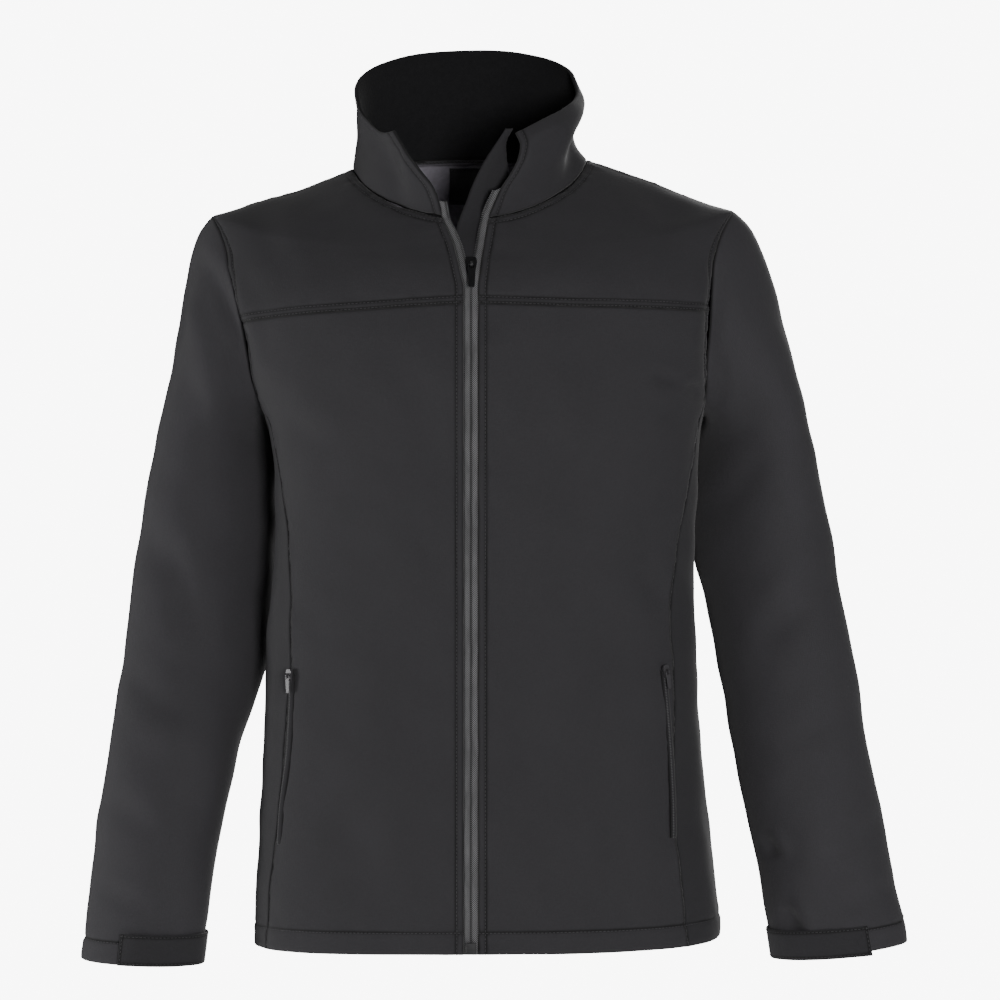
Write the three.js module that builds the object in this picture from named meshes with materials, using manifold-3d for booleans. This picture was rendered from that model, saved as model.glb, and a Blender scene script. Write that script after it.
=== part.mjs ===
import * as THREE from 'three';
import { mergeVertices } from 'three/addons/utils/BufferGeometryUtils.js';
import Module from 'manifold-3d';

// Softshell jacket with a stand collar, filled out as when it is worn.
// Millimetres, +Z up, front towards -Y, +X towards the wearer's left.
// The origin is inside the neck, level with the high points of the shoulders.

// Driving sizes
const CLOTH = 2; // bonded softshell
const FLEECE = 1.5; // inner face of the collar
const TAPE = 1.1; // woven zip tape
const SEAM_GAP = 0.3; // between neighbouring pieces
const MITRE_LIMIT = 0.6; // least share of a wall's normal kept at a folded seam
const PARTING_LIMIT = 0.35; // the same for the gap at such a seam
const SAME_SPOT = 0.01; // distance at which two spots count as one
const SHOULDER_DROP = 1.4; // how fast a ring leaves the height of its side
const SEARCH_STEPS = 44; // halvings in a search for one number
const SETTLE_STEPS = 60; // rounds in a search for a spot on the body
const SETTLE_SHARE = 0.6; // how far each round goes

// Rings of the body. Front and back hold [y, z], right and left hold [distance from the zip, z].
const BODY_RINGS = [
  {
    at: 'hem',
    square: 0.1,
    front: [-114, -693],
    back: [108, -700],
    right: [195, -697],
    left: [222.5, -689],
  },
  {
    at: 'flank',
    square: 0.1,
    front: [-117, -632],
    back: [111, -637],
    right: [193, -636],
    left: [219, -634],
  },
  {
    at: 'hip',
    square: 0.1,
    front: [-118, -574],
    back: [109, -577],
    right: [189.5, -576],
    left: [213, -575],
  },
  {
    at: 'waist',
    square: 0.1,
    front: [-117, -505],
    back: [102, -505],
    right: [186, -505],
    left: [206, -505],
  },
  {
    at: 'loin',
    square: 0.1,
    front: [-117, -430],
    back: [99, -430],
    right: [183.5, -430],
    left: [202.5, -430],
  },
  {
    at: 'rib',
    square: 0.1,
    front: [-119, -364],
    back: [101, -364],
    right: [178, -364],
    left: [201, -364],
  },
  {
    at: 'chest',
    square: 0.1,
    front: [-123, -290],
    back: [109, -290],
    right: [176, -290],
    left: [203, -290],
  },
  {
    at: 'armpit',
    square: 0.12,
    front: [-126, -227],
    back: [116, -227],
    right: [183, -227],
    left: [206, -227],
  },
  {
    at: 'underarm',
    square: 0.12,
    front: [-125, -180],
    back: [120, -178],
    right: [202, -182],
    left: [215, -182],
  },
  {
    at: 'yoke',
    square: 0.1,
    front: [-120, -130],
    back: [121, -124],
    right: [219, -132],
    left: [227, -128],
  },
  {
    at: 'cap',
    square: 0.05,
    front: [-112, -98],
    back: [117, -86],
    right: [235, -90],
    left: [237, -86],
  },
  {
    at: 'shoulder tip',
    square: 0,
    front: [-104, -82],
    back: [110, -58],
    right: [233.5, -44.5],
    left: [237, -39.5],
  },
  {
    at: 'shoulder end',
    square: 0,
    front: [-101, -76],
    back: [106, -46],
    right: [212, -38],
    left: [214, -32.5],
  },
  {
    at: 'shoulder',
    square: 0,
    front: [-95, -65],
    back: [94, -16],
    right: [160, -21.5],
    left: [158, -12],
  },
  {
    at: 'neck seam',
    square: 0.02,
    front: [-87, -52],
    back: [76, 14],
    right: [106, -2],
    left: [104, 6],
  },
];

// Half widths of the zip opening, from the hem up to the neck seam.
const OPENING = [
  { z: -720, right: 6.8, left: 6.8 },
  { z: -112, right: 6.8, left: 6.8 },
  { z: -88, right: 12, left: 9.5 },
  { z: -74, right: 15.7, left: 12 },
  { z: -59, right: 22, left: 14.5 },
  { z: -45, right: 30, left: 18 },
];

// Seams between the fronts, the side panels and the back, as angles round the body.
const PANEL_SEAMS = [
  { z: -700, frontRight: 60, frontLeft: 52, back: 122 },
  { z: -600, frontRight: 56, frontLeft: 50, back: 122 },
  { z: -450, frontRight: 53, frontLeft: 54, back: 121 },
  { z: -365, frontRight: 55, frontLeft: 55, back: 120 },
];

// Armholes: an upright oval that the body's surface carries.
const ARMHOLE = {
  right: { top: -44.5, bottom: -222, front: 62, back: 66 },
  left: { top: -39.5, bottom: -222, front: 62, back: 66 },
};
const UNDERARM_START = -50; // degrees on the oval where the panel seams meet it

// Ends of the chest seam.
const CHEST_SEAM = { zip: -127, right: -143, left: -133 };

// Sections of the sleeves, each at the height of its middle. Outer and inner are distances from the
// zip's plane, turn leans the oval round the body, and lift raises its outer end.
const SLEEVES = {
  right: [
    { z: -250, outer: 282, inner: 177, y: 26, half: 64, turn: 0.35, lift: 0.12 },
    { z: -323, outer: 297, inner: 176, y: 27, half: 62, turn: 0.35, lift: 0.1 },
    { z: -385, outer: 306, inner: 180, y: 28, half: 60, turn: 0.34, lift: 0.1 },
    { z: -435, outer: 312, inner: 184, y: 26, half: 58, turn: 0.3, lift: 0.1 },
    { z: -466, outer: 316, inner: 191, y: 20, half: 56, turn: 0.24, lift: 0.1 },
    { z: -489, outer: 319.5, inner: 201.5, y: 11, half: 55, turn: 0.18, lift: 0.1 },
    { z: -514, outer: 323, inner: 208, y: 4, half: 54, turn: 0.14, lift: 0.1 },
    { z: -552, outer: 328.5, inner: 215, y: 0, half: 52, turn: 0.1, lift: 0.08 },
    { z: -610, outer: 337, inner: 227, y: -5, half: 48, turn: 0.05, lift: 0.06 },
    { z: -655, outer: 342, inner: 234, y: -9, half: 44, turn: 0, lift: 0.05 },
    { z: -690, outer: 346, inner: 238.5, y: -12, half: 41, turn: 0, lift: 0.04 },
    { z: -712, outer: 348.5, inner: 241, y: -13, half: 39, turn: 0, lift: 0.04 },
  ],
  left: [
    { z: -250, outer: 306.5, inner: 201, y: 28, half: 64, turn: 0.36, lift: 0.15 },
    { z: -320, outer: 320, inner: 201, y: 28, half: 62, turn: 0.34, lift: 0.15 },
    { z: -355, outer: 327.5, inner: 205.5, y: 24, half: 61, turn: 0.3, lift: 0.15 },
    { z: -391, outer: 333.5, inner: 216, y: 18, half: 60, turn: 0.22, lift: 0.15 },
    { z: -433, outer: 339.8, inner: 222.5, y: 11, half: 58, turn: 0.17, lift: 0.15 },
    { z: -468, outer: 346, inner: 228.5, y: 8, half: 56, turn: 0.12, lift: 0.14 },
    { z: -516, outer: 354, inner: 237, y: 3, half: 54, turn: 0.08, lift: 0.14 },
    { z: -552, outer: 361, inner: 243, y: 0, half: 52, turn: 0.05, lift: 0.14 },
    { z: -598, outer: 371, inner: 254, y: -4, half: 48, turn: 0, lift: 0.14 },
    { z: -644, outer: 380, inner: 262, y: -8, half: 45, turn: 0, lift: 0.13 },
    { z: -682, outer: 388, inner: 268, y: -11, half: 42, turn: 0, lift: 0.12 },
    { z: -702, outer: 391.5, inner: 271, y: -12, half: 40, turn: 0, lift: 0.12 },
  ],
};

// Direction in which a sleeve leaves its armhole: share outwards and share downwards.
const SLEEVE_START = { top: [0.88, -0.47], bottom: [0.97, -0.25], reach: 5 };
const SLEEVE_PULL = { right: 0.44, left: 0.54 }; // how far it keeps that direction

// Top edge of the collar, from the wearer's left front corner round the back to the right one.
const COLLAR_TOP = [
  { at: 'left corner', x: 39, y: -91, z: 24 },
  { at: 'left front', x: 58, y: -84, z: 34 },
  { at: 'left cheek', x: 79, y: -62, z: 46 },
  { at: 'left side', x: 94.5, y: -20, z: 62 },
  { at: 'left ear', x: 96, y: 10, z: 77 },
  { at: 'left nape', x: 82, y: 45, z: 98 },
  { at: 'left back', x: 41, y: 73, z: 111 },
  { at: 'back', x: -4, y: 80, z: 113 },
  { at: 'right back', x: -48, y: 73, z: 109 },
  { at: 'right nape', x: -88, y: 44, z: 95 },
  { at: 'right ear', x: -104, y: 8, z: 77 },
  { at: 'right side', x: -104, y: -20, z: 58 },
  { at: 'right cheek', x: -93, y: -52, z: 36 },
  { at: 'right front', x: -80, y: -76, z: 24 },
  { at: 'right corner', x: -67, y: -89, z: 25 },
];

// Front edges of the collar between the neck seam and the top corners.
const COLLAR_FRONT = {
  left: [
    { x: 24, y: -92, z: -29 },
    { x: 39, y: -95, z: -5 },
    { x: 43.5, y: -95, z: 13 },
  ],
  right: [
    { x: -31, y: -93, z: -27 },
    { x: -48, y: -95, z: -3 },
  ],
};
const COLLAR_WAIST = { rise: 1, fall: 1.8 }; // powers that put the fullest swell a third of the way up
// Most that the collar swells outwards, by the share of its length from the left corner.
const COLLAR_ROLL = [
  { share: 0, swell: 3 },
  { share: 0.1, swell: 0 },
  { share: 0.2, swell: -13 },
  { share: 0.28, swell: -12 },
  { share: 0.38, swell: -2 },
  { share: 0.48, swell: 3 },
  { share: 1, swell: 3 },
];
const INNER_SCALE = 1.05; // most that the inner collar's wall grows at a folded seam

// Largest folds: soft troughs and ridges, each along a line on the surface.
const FOLDS = [
  { at: 'right armhole drape', from: [-238, -30, -90], to: [-205, -62, -205], width: 12, depth: -4 },
  { at: 'right sleeve cap', from: [-252, -38, -110], to: [-226, -52, -215], width: 13, depth: 4 },
  { at: 'right elbow', from: [-300, -28, -330], to: [-235, -46, -420], width: 20, depth: -4 },
  { at: 'right elbow back', from: [-302, 40, -360], to: [-240, 66, -430], width: 20, depth: -5 },
  { at: 'right forearm', from: [-322, -45, -500], to: [-245, -45, -560], width: 18, depth: -3 },
  { at: 'left armhole drape', from: [235, -36, -110], to: [216, -60, -200], width: 13, depth: -3 },
  { at: 'left elbow', from: [328, -30, -380], to: [252, -46, -430], width: 20, depth: -4 },
  { at: 'left elbow back', from: [330, 35, -370], to: [255, 62, -450], width: 22, depth: -5 },
  { at: 'left wrist', from: [262, -40, -600], to: [330, -50, -640], width: 14, depth: -4 },
  { at: 'left chest', from: [160, -90, -190], to: [192, -66, -202], width: 16, depth: -3 },
  { at: 'left side', from: [150, -95, -355], to: [176, -72, -420], width: 20, depth: -3 },
  { at: 'right side', from: [-120, -100, -470], to: [-172, -50, -440], width: 20, depth: -3 },
  { at: 'back waist', from: [-120, 90, -470], to: [70, 104, -500], width: 26, depth: -5 },
  { at: 'back low', from: [-60, 106, -580], to: [130, 86, -545], width: 24, depth: -4 },
  { at: 'back blade', from: [-150, 96, -190], to: [-60, 118, -250], width: 24, depth: -4 },
  { at: 'back blade left', from: [160, 92, -190], to: [70, 118, -260], width: 24, depth: -4 },
];

// Grid of the walls: rows up the body and columns round it.
const ROWS = { armpit: 16, yoke: 20, tip: 26, neck: 32 };
const COLUMNS = { front: 8, side: 5, back: 16 };
const CAP_ROWS = 7;
const FOLD_START = 3; // rows over which a sleeve's folds begin
const ARM_ROWS = 14;
const COLLAR_ROWS = 6;

// Main zip: tapes, slider with its pull, and the box at the hem
const ZIP = { reach: 6.35, sink: 0.7, collarRows: { right: 1, left: 2 } };
const ZIP_BOX = { width: 9, height: 10, thick: 2.8, z: -687 };
const SLIDER = { z: -95, x: 0.5, reach: 8 };

// A zip head at full size, measured from the face that rests on the tape.
const HEAD = {
  width: 9.4,
  height: 16,
  nose: 5.6,
  thick: 3,
  rise: 1.9,
  ringOuter: 2.9,
  ringInner: 1.6,
  ringWidth: 2.2,
  shoulder: 2.7,
  bar: 0.7,
  pullWidth: 7.2,
  pullEnd: 5.4,
  pullLength: 22,
  pullThick: 1.3,
  pullCorner: 1,
  window: [4, 3.2],
  cornerSegments: 4,
  ringSegments: 10,
};

// Pocket zips, in front of the panel seams: distance from the zip's plane and height.
const POCKETS = {
  right: [
    { x: 159, z: -452 },
    { x: 158, z: -480 },
    { x: 160, z: -520 },
    { x: 166, z: -566 },
    { x: 168.5, z: -601 },
  ],
  left: [
    { x: 169, z: -448 },
    { x: 172, z: -480 },
    { x: 175, z: -520 },
    { x: 177, z: -560 },
    { x: 177.5, z: -594 },
  ],
};
const POCKET = { width: 6.5, rows: 12, scale: 0.7, lift: 0.3, headDrop: 0.5 };

// Storm flap behind the zip. It follows the front up to the throat, then its own line.
const STORM_FLAP = { x: 4, half: 17, depth: 2.7, from: -672, to: -80, rows: 16 };
const FLAP_TONGUE = [
  { at: 'throat', x: 3, y: -86, z: -62, half: 17, turn: 0 },
  { at: 'neck', x: 8, y: -78, z: -42, half: 14.5, turn: 4 },
  { at: 'chin', x: 20.5, y: -77.5, z: -10, half: 14, turn: 12 },
  { at: 'guard', x: 26, y: -79.5, z: 12, half: 5.2, turn: 18 },
  { at: 'corner', x: 34.5, y: -84, z: 26, half: 3.6, turn: 22 },
];
const TONGUE_ROWS = 7;
const FLAP_CLOTH = 1.6;

// Neck tape on the inside of the back, in rows and columns of its wall, and the bare label below it
const NECK_TAPE = { from: 3, to: 13, top: 0.06, bottom: 0.28, thick: 0.9, lift: 0.5 };
const LABEL = { x: 1, z: -10, width: 42, height: 33, thick: 0.8, lift: 1, columns: 4, rows: 3 };

// Cuff tabs: angles round the cuff, counted from its outer side towards the front.
const CUFF_TABS = {
  right: { end: 70, start: 222, height: 28.5, sag: 0.5 },
  left: { end: 67, start: 222, height: 27, sag: 4 },
};
const TAB = { thick: 1.8, lift: 0.6, columns: 14, rise: 0.6 };

const FINISH = {
  cloth: { color: 0x2f2e31, roughness: 0.86, metalness: 0 },
  side: { color: 0x29282b, roughness: 0.88, metalness: 0 },
  fleece: { color: 0x0e0e10, roughness: 0.97, metalness: 0 },
  tape: { color: 0x444346, roughness: 0.8, metalness: 0 },
  metal: { color: 0x1c1c1e, roughness: 0.45, metalness: 0.6 },
  label: { color: 0x1d1d20, roughness: 0.7, metalness: 0 },
  neck: { color: 0x4d4b50, roughness: 0.85, metalness: 0 },
};

const wasm = await Module();
wasm.setup();

const jacket = new THREE.Group();

// Number helpers

const radians = (degrees) => (degrees * Math.PI) / 180;
const mix = (a, b, t) => a + (b - a) * t;
const clamp = (value) => Math.min(1, Math.max(0, value));

// Finds where a rising or falling function of one number meets a target.
function meet(measure, target, low, high) {
  const rising = measure(high) > measure(low);
  let a = low;
  let b = high;
  for (let step = 0; step < SEARCH_STEPS; step += 1) {
    const middle = (a + b) / 2;
    if (measure(middle) < target === rising) a = middle;
    else b = middle;
  }
  return (a + b) / 2;
}

// A smooth curve through values at uneven places.
function smooth(places, values) {
  const slope = values.map((value, k) => {
    const before = Math.max(0, k - 1);
    const after = Math.min(values.length - 1, k + 1);
    return (values[after] - values[before]) / (places[after] - places[before]);
  });
  return (place) => {
    let k = 0;
    while (k < places.length - 2 && place > places[k + 1]) k += 1;
    const span = places[k + 1] - places[k];
    const t = (place - places[k]) / span;
    const u = 1 - t;
    const start = values[k] * (1 + 2 * t) * u * u + slope[k] * span * t * u * u;
    const end = values[k + 1] * (1 + 2 * u) * t * t - slope[k + 1] * span * u * t * t;
    return start + end;
  };
}

// A chain of straight stretches through the rows of a table, read at a height.
function stretch(table, key, z) {
  let k = 0;
  while (k < table.length - 2 && z > table[k + 1].z) k += 1;
  const t = clamp((z - table[k].z) / (table[k + 1].z - table[k].z));
  return mix(table[k][key], table[k + 1][key], t);
}

// Body surface

function bodyTracks() {
  const places = [0];
  for (let k = 1; k < BODY_RINGS.length; k += 1) {
    const [low, high] = [BODY_RINGS[k - 1], BODY_RINGS[k]];
    const inward = (low.right[0] + low.left[0] - high.right[0] - high.left[0]) / 2;
    const rise = (high.right[1] + high.left[1] - low.right[1] - low.left[1]) / 2;
    places.push(places[k - 1] + Math.hypot(inward, rise));
  }
  const tracks = { top: places.at(-1), square: smooth(places, BODY_RINGS.map((ring) => ring.square)) };
  for (const key of ['front', 'back', 'right', 'left']) {
    tracks[key] = {
      across: smooth(places, BODY_RINGS.map((ring) => ring[key][0])),
      z: smooth(places, BODY_RINGS.map((ring) => ring[key][1])),
    };
  }
  return tracks;
}

const body = bodyTracks();

// A point of the plain body: angle round it from the zip towards the wearer's left, and way up it.
function plainBody(angle, way) {
  const s = Math.sin(radians(angle));
  const c = Math.cos(radians(angle));
  const side = s >= 0 ? body.left : body.right;
  const end = c >= 0 ? body.front : body.back;
  const swell = 1 + body.square(way) * (2 * s * c) ** 2;
  const drop = Math.abs(c) ** SHOULDER_DROP;
  return new THREE.Vector3(
    s * swell * side.across(way),
    Math.abs(c) * swell * end.across(way),
    mix(side.z(way), end.z(way), drop),
  );
}

function foldDepth(point) {
  let depth = 0;
  for (const fold of FOLDS) {
    const line = new THREE.Line3(new THREE.Vector3(...fold.from), new THREE.Vector3(...fold.to));
    const nearest = line.closestPointToPoint(point, true, new THREE.Vector3());
    depth += fold.depth * Math.exp(-(nearest.distanceToSquared(point) / fold.width ** 2));
  }
  return depth;
}

function surfaceNormal(place, angle, way) {
  const low = Math.max(0, way - 1);
  const high = Math.min(body.top, way + 1);
  const round = place(angle + 0.5, way).sub(place(angle - 0.5, way));
  const up = place(angle, high).sub(place(angle, low));
  return round.cross(up).normalize();
}

function bodyPoint(angle, way) {
  const point = plainBody(angle, way);
  const depth = foldDepth(point);
  if (Math.abs(depth) < SAME_SPOT) return point;
  return point.addScaledVector(surfaceNormal(plainBody, angle, way), depth);
}

// Lines on the body, as pairs of an angle from the zip and a way up

const signOf = { right: -1, left: 1 };

function wayAt(side, angle, z) {
  return meet((way) => plainBody(signOf[side] * angle, way).z, z, 0, body.top);
}

function openingAngle(side, way) {
  const half = stretch(OPENING, side, body.front.z(way));
  return meet((angle) => Math.abs(plainBody(signOf[side] * angle, way).x), half, 0, 60);
}

function armholePair(side, degrees) {
  const hole = ARMHOLE[side];
  const reach = Math.cos(radians(degrees));
  const y = -reach * (reach > 0 ? hole.front : hole.back);
  const z = mix(hole.bottom, hole.top, (1 + Math.sin(radians(degrees))) / 2);
  const [low, high] = reach > 0 ? [20, 90.001] : [89.999, 160];
  let angle = 90;
  let way = wayAt(side, angle, z);
  for (let step = 0; step < SETTLE_STEPS; step += 1) {
    const round = meet((a) => plainBody(signOf[side] * a, way).y, y, low, high);
    angle = mix(angle, round, SETTLE_SHARE);
    way = mix(way, wayAt(side, angle, z), SETTLE_SHARE);
  }
  return { angle, way };
}

// Ways round the oval from the panel seams up to the shoulder tip, with the chest seam on its row.
function armholeLines(side) {
  const hole = ARMHOLE[side];
  const middle = (hole.top + hole.bottom) / 2;
  const yoke = (Math.asin((CHEST_SEAM[side] - middle) / ((hole.top - hole.bottom) / 2)) * 180) / Math.PI;
  const front = [];
  const back = [];
  for (let row = ROWS.armpit; row <= ROWS.tip; row += 1) {
    const lower = (row - ROWS.armpit) / (ROWS.yoke - ROWS.armpit);
    const upper = (row - ROWS.yoke) / (ROWS.tip - ROWS.yoke);
    const degrees = row <= ROWS.yoke ? mix(UNDERARM_START, yoke, lower) : mix(yoke, 90, upper);
    front.push(armholePair(side, degrees));
    back.push(armholePair(side, 180 - degrees));
  }
  const under = [];
  for (let column = 0; column <= COLUMNS.side; column += 1) {
    const degrees = mix(UNDERARM_START, -180 - UNDERARM_START, column / COLUMNS.side);
    under.push(armholePair(side, degrees));
  }
  return { front, back, under };
}

const armholes = { right: armholeLines('right'), left: armholeLines('left') };

// A panel seam from the hem to the armhole, one pair for each row.
function panelSeam(side, key, end) {
  const places = PANEL_SEAMS.map((row) => wayAt(side, row[key], row.z));
  places[0] = 0;
  const line = smooth([...places, end.way], [...PANEL_SEAMS.map((row) => row[key]), end.angle]);
  const pairs = [];
  for (let row = 0; row <= ROWS.armpit; row += 1) {
    const way = (end.way * row) / ROWS.armpit;
    pairs.push({ angle: line(way), way });
  }
  return pairs;
}

// The front edge from the hem to the neck seam, with the chest seam on its row.
function openingLine(side) {
  const yoke = wayAt(side, 3, CHEST_SEAM.zip);
  const pairs = [];
  for (let row = 0; row <= ROWS.neck; row += 1) {
    const lower = (yoke * row) / ROWS.yoke;
    const upper = mix(yoke, body.top, (row - ROWS.yoke) / (ROWS.neck - ROWS.yoke));
    const way = row <= ROWS.yoke ? lower : upper;
    pairs.push({ angle: openingAngle(side, way), way });
  }
  return pairs;
}

function bodyLines(side) {
  const hole = armholes[side];
  const key = side === 'right' ? 'frontRight' : 'frontLeft';
  const tip = hole.front.at(-1);
  const shoulder = [];
  for (let row = ROWS.tip + 1; row <= ROWS.neck; row += 1) {
    const way = mix(tip.way, body.top, (row - ROWS.tip) / (ROWS.neck - ROWS.tip));
    shoulder.push({ angle: 90, way });
  }
  return {
    opening: openingLine(side),
    front: [...panelSeam(side, key, hole.front[0]).slice(0, -1), ...hole.front, ...shoulder],
    back: [...panelSeam(side, 'back', hole.back[0]).slice(0, -1), ...hole.back, ...shoulder],
    under: hole.under,
  };
}

const lines = { right: bodyLines('right'), left: bodyLines('left') };

// Fills a patch of pairs between four lines that share their ends.
function fillPairs(bottom, top, start, end) {
  const rows = start.length - 1;
  const columns = bottom.length - 1;
  const blend = (key, i, j) => {
    const u = i / columns;
    const w = j / rows;
    const across = mix(start[j][key], end[j][key], u) + mix(bottom[i][key], top[i][key], w);
    const low = mix(bottom[0][key], bottom[columns][key], u);
    const high = mix(top[0][key], top[columns][key], u);
    return across - mix(low, high, w);
  };
  const pair = (i, j) => ({ angle: blend('angle', i, j), way: blend('way', i, j) });
  return start.map((_, j) => bottom.map((__, i) => pair(i, j)));
}

function straightPairs(from, to, count) {
  return Array.from({ length: count + 1 }, (_, k) => ({
    angle: mix(from.angle, to.angle, k / count),
    way: mix(from.way, to.way, k / count),
  }));
}

// Grids of points and wall directions

// The pairs of one side become points; the wearer's right is read from the armpit to the zip,
// so that every grid runs the same way round the body.
function bodyGrid(pairs, side) {
  const turned = side === 'right' ? pairs.map((row) => [...row].reverse()) : pairs;
  const sign = signOf[side];
  return turned.map((row) => row.map(({ angle, way }) => ({
    point: bodyPoint(sign * angle, way),
    normal: surfaceNormal(bodyPoint, sign * angle, way),
    scale: 1,
  })));
}

function gridNormals(points, closed) {
  const rows = points.length;
  const columns = points[0].length;
  return points.map((row, j) => row.map((_, i) => {
    const before = closed ? (i + columns - 1) % columns : Math.max(0, i - 1);
    const after = closed ? (i + 1) % columns : Math.min(columns - 1, i + 1);
    const round = row[after].clone().sub(row[before]);
    const up = points[Math.min(rows - 1, j + 1)][i].clone().sub(points[Math.max(0, j - 1)][i]);
    return round.cross(up).normalize();
  }));
}

function gridOf(points, closed = false) {
  const normals = gridNormals(points, closed);
  return points.map((row, j) => row.map((point, i) => ({ point, normal: normals[j][i], scale: 1 })));
}

// One wall direction for the two pieces that meet in a folded seam.
function foldSeam(first, second) {
  const normal = first.normal.clone().add(second.normal).normalize();
  const scale = 1 / Math.max(MITRE_LIMIT, normal.dot(first.normal));
  for (const spot of [first, second]) {
    spot.flat = spot.normal;
    spot.normal = normal.clone();
    spot.scale = scale;
  }
}

// Draws the named edges of a grid back from their seams by half a gap.
function drawBack(grid, edges, closed = false) {
  const rows = grid.length - 1;
  const columns = grid[0].length - 1;
  const shifts = [];
  const along = (a, b) => b.point.clone().sub(a.point).normalize();
  const own = (spot) => (spot.flat ?? spot.normal).clone();
  const note = (spot, direction) => {
    const share = Math.max(PARTING_LIMIT, spot.normal.dot(own(spot)));
    shifts.push([spot, direction.normalize().multiplyScalar(SEAM_GAP / 2 / share)]);
  };
  for (let j = 0; j <= rows; j += 1) {
    for (const [edge, i, sign] of [['start', 0, 1], ['end', columns, -1]]) {
      if (edges.includes(edge)) {
        const up = along(grid[Math.max(0, j - 1)][i], grid[Math.min(rows, j + 1)][i]);
        note(grid[j][i], up.cross(own(grid[j][i])).multiplyScalar(sign));
      }
    }
  }
  for (let i = 0; i <= columns; i += 1) {
    for (const [edge, j, sign] of [['bottom', 0, 1], ['top', rows, -1]]) {
      if (edges.includes(edge)) {
        const before = closed ? (i + columns) % (columns + 1) : Math.max(0, i - 1);
        const after = closed ? (i + 1) % (columns + 1) : Math.min(columns, i + 1);
        const round = along(grid[j][before], grid[j][after]);
        note(grid[j][i], own(grid[j][i]).cross(round).multiplyScalar(sign));
      }
    }
  }
  for (const [spot, shift] of shifts) spot.point = spot.point.clone().add(shift);
  return grid;
}

// A closed wall: the grid's points moved out by one distance and in by another.
function wall(grid, inward, outward = 0, closed = false) {
  const rows = grid.length;
  const columns = grid[0].length;
  const positions = [];
  const index = [];
  for (const reach of [outward, -inward]) {
    for (const row of grid) {
      for (const { point, normal, scale } of row) {
        const place = point.clone().addScaledVector(normal, reach * scale);
        positions.push(place.x, place.y, place.z);
      }
    }
  }
  const outer = (j, i) => j * columns + (i % columns);
  const inner = (j, i) => rows * columns + outer(j, i);
  const quad = (a, b, c, d) => index.push(a, b, c, a, c, d);
  const spans = closed ? columns : columns - 1;
  for (let i = 0; i < spans; i += 1) {
    for (let j = 0; j < rows - 1; j += 1) {
      quad(outer(j, i), outer(j, i + 1), outer(j + 1, i + 1), outer(j + 1, i));
      quad(inner(j, i), inner(j + 1, i), inner(j + 1, i + 1), inner(j, i + 1));
    }
    quad(inner(0, i), inner(0, i + 1), outer(0, i + 1), outer(0, i));
    quad(inner(rows - 1, i), outer(rows - 1, i), outer(rows - 1, i + 1), inner(rows - 1, i + 1));
  }
  for (let j = 0; j < rows - 1 && !closed; j += 1) {
    quad(inner(j, 0), outer(j, 0), outer(j + 1, 0), inner(j + 1, 0));
    quad(inner(j, spans), inner(j + 1, spans), outer(j + 1, spans), outer(j, spans));
  }
  const geometry = new THREE.BufferGeometry();
  geometry.setAttribute('position', new THREE.Float32BufferAttribute(positions, 3));
  geometry.setIndex(index);
  return geometry;
}

function addPiece(name, geometry, finish) {
  const mesh = new THREE.Mesh(geometry, new THREE.MeshStandardMaterial({ ...FINISH[finish] }));
  mesh.name = name;
  jacket.add(mesh);
  return mesh;
}

// Body panels

function frontGrid(side) {
  const { opening, front } = lines[side];
  const rows = ROWS.yoke;
  const bottom = straightPairs(opening[0], front[0], COLUMNS.front);
  const top = straightPairs(opening[rows], front[rows], COLUMNS.front);
  const pairs = fillPairs(bottom, top, opening.slice(0, rows + 1), front.slice(0, rows + 1));
  return bodyGrid(pairs, side);
}

function yokeGrid(side) {
  const { opening, front } = lines[side];
  const bottom = straightPairs(opening[ROWS.yoke], front[ROWS.yoke], COLUMNS.front);
  const top = straightPairs(opening[ROWS.neck], front[ROWS.neck], COLUMNS.front);
  return bodyGrid(fillPairs(bottom, top, opening.slice(ROWS.yoke), front.slice(ROWS.yoke)), side);
}

function sideGrid(side) {
  const { front, back, under } = lines[side];
  const rows = ROWS.armpit;
  const bottom = straightPairs(front[0], back[0], COLUMNS.side);
  return bodyGrid(fillPairs(bottom, under, front.slice(0, rows + 1), back.slice(0, rows + 1)), side);
}

function backGrid() {
  const start = lines.left.back;
  const end = lines.right.back.map(({ angle, way }) => ({ angle: 360 - angle, way }));
  const bottom = straightPairs(start[0], end[0], COLUMNS.back);
  const top = straightPairs(start[ROWS.neck], end[ROWS.neck], COLUMNS.back);
  return bodyGrid(fillPairs(bottom, top, start, end), 'left');
}

// Sleeves

const sleeveKeys = ['z', 'outer', 'inner', 'y', 'half', 'turn', 'lift'];

function sleeveTracks(side) {
  const table = SLEEVES[side];
  const places = table.map((row) => table[0].z - row.z);
  const tracks = { length: places.at(-1) };
  for (const key of sleeveKeys) tracks[key] = smooth(places, table.map((row) => row[key]));
  return tracks;
}

const arms = { right: sleeveTracks('right'), left: sleeveTracks('left') };

// A point of the plain sleeve: angle from its outer side towards the front, and way down it.
function plainSleeve(side, angle, way) {
  const arm = arms[side];
  const c = Math.cos(radians(angle));
  const s = Math.sin(radians(angle));
  const lean = arm.turn(way) * arm.half(way);
  const reach = (arm.outer(way) - arm.inner(way)) / 2;
  const off = Math.sqrt(reach ** 2 - lean ** 2) * c + lean * s;
  return new THREE.Vector3(
    signOf[side] * ((arm.outer(way) + arm.inner(way)) / 2 + off),
    arm.y(way) - arm.half(way) * s,
    arm.z(way) + arm.lift(way) * off,
  );
}

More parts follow.
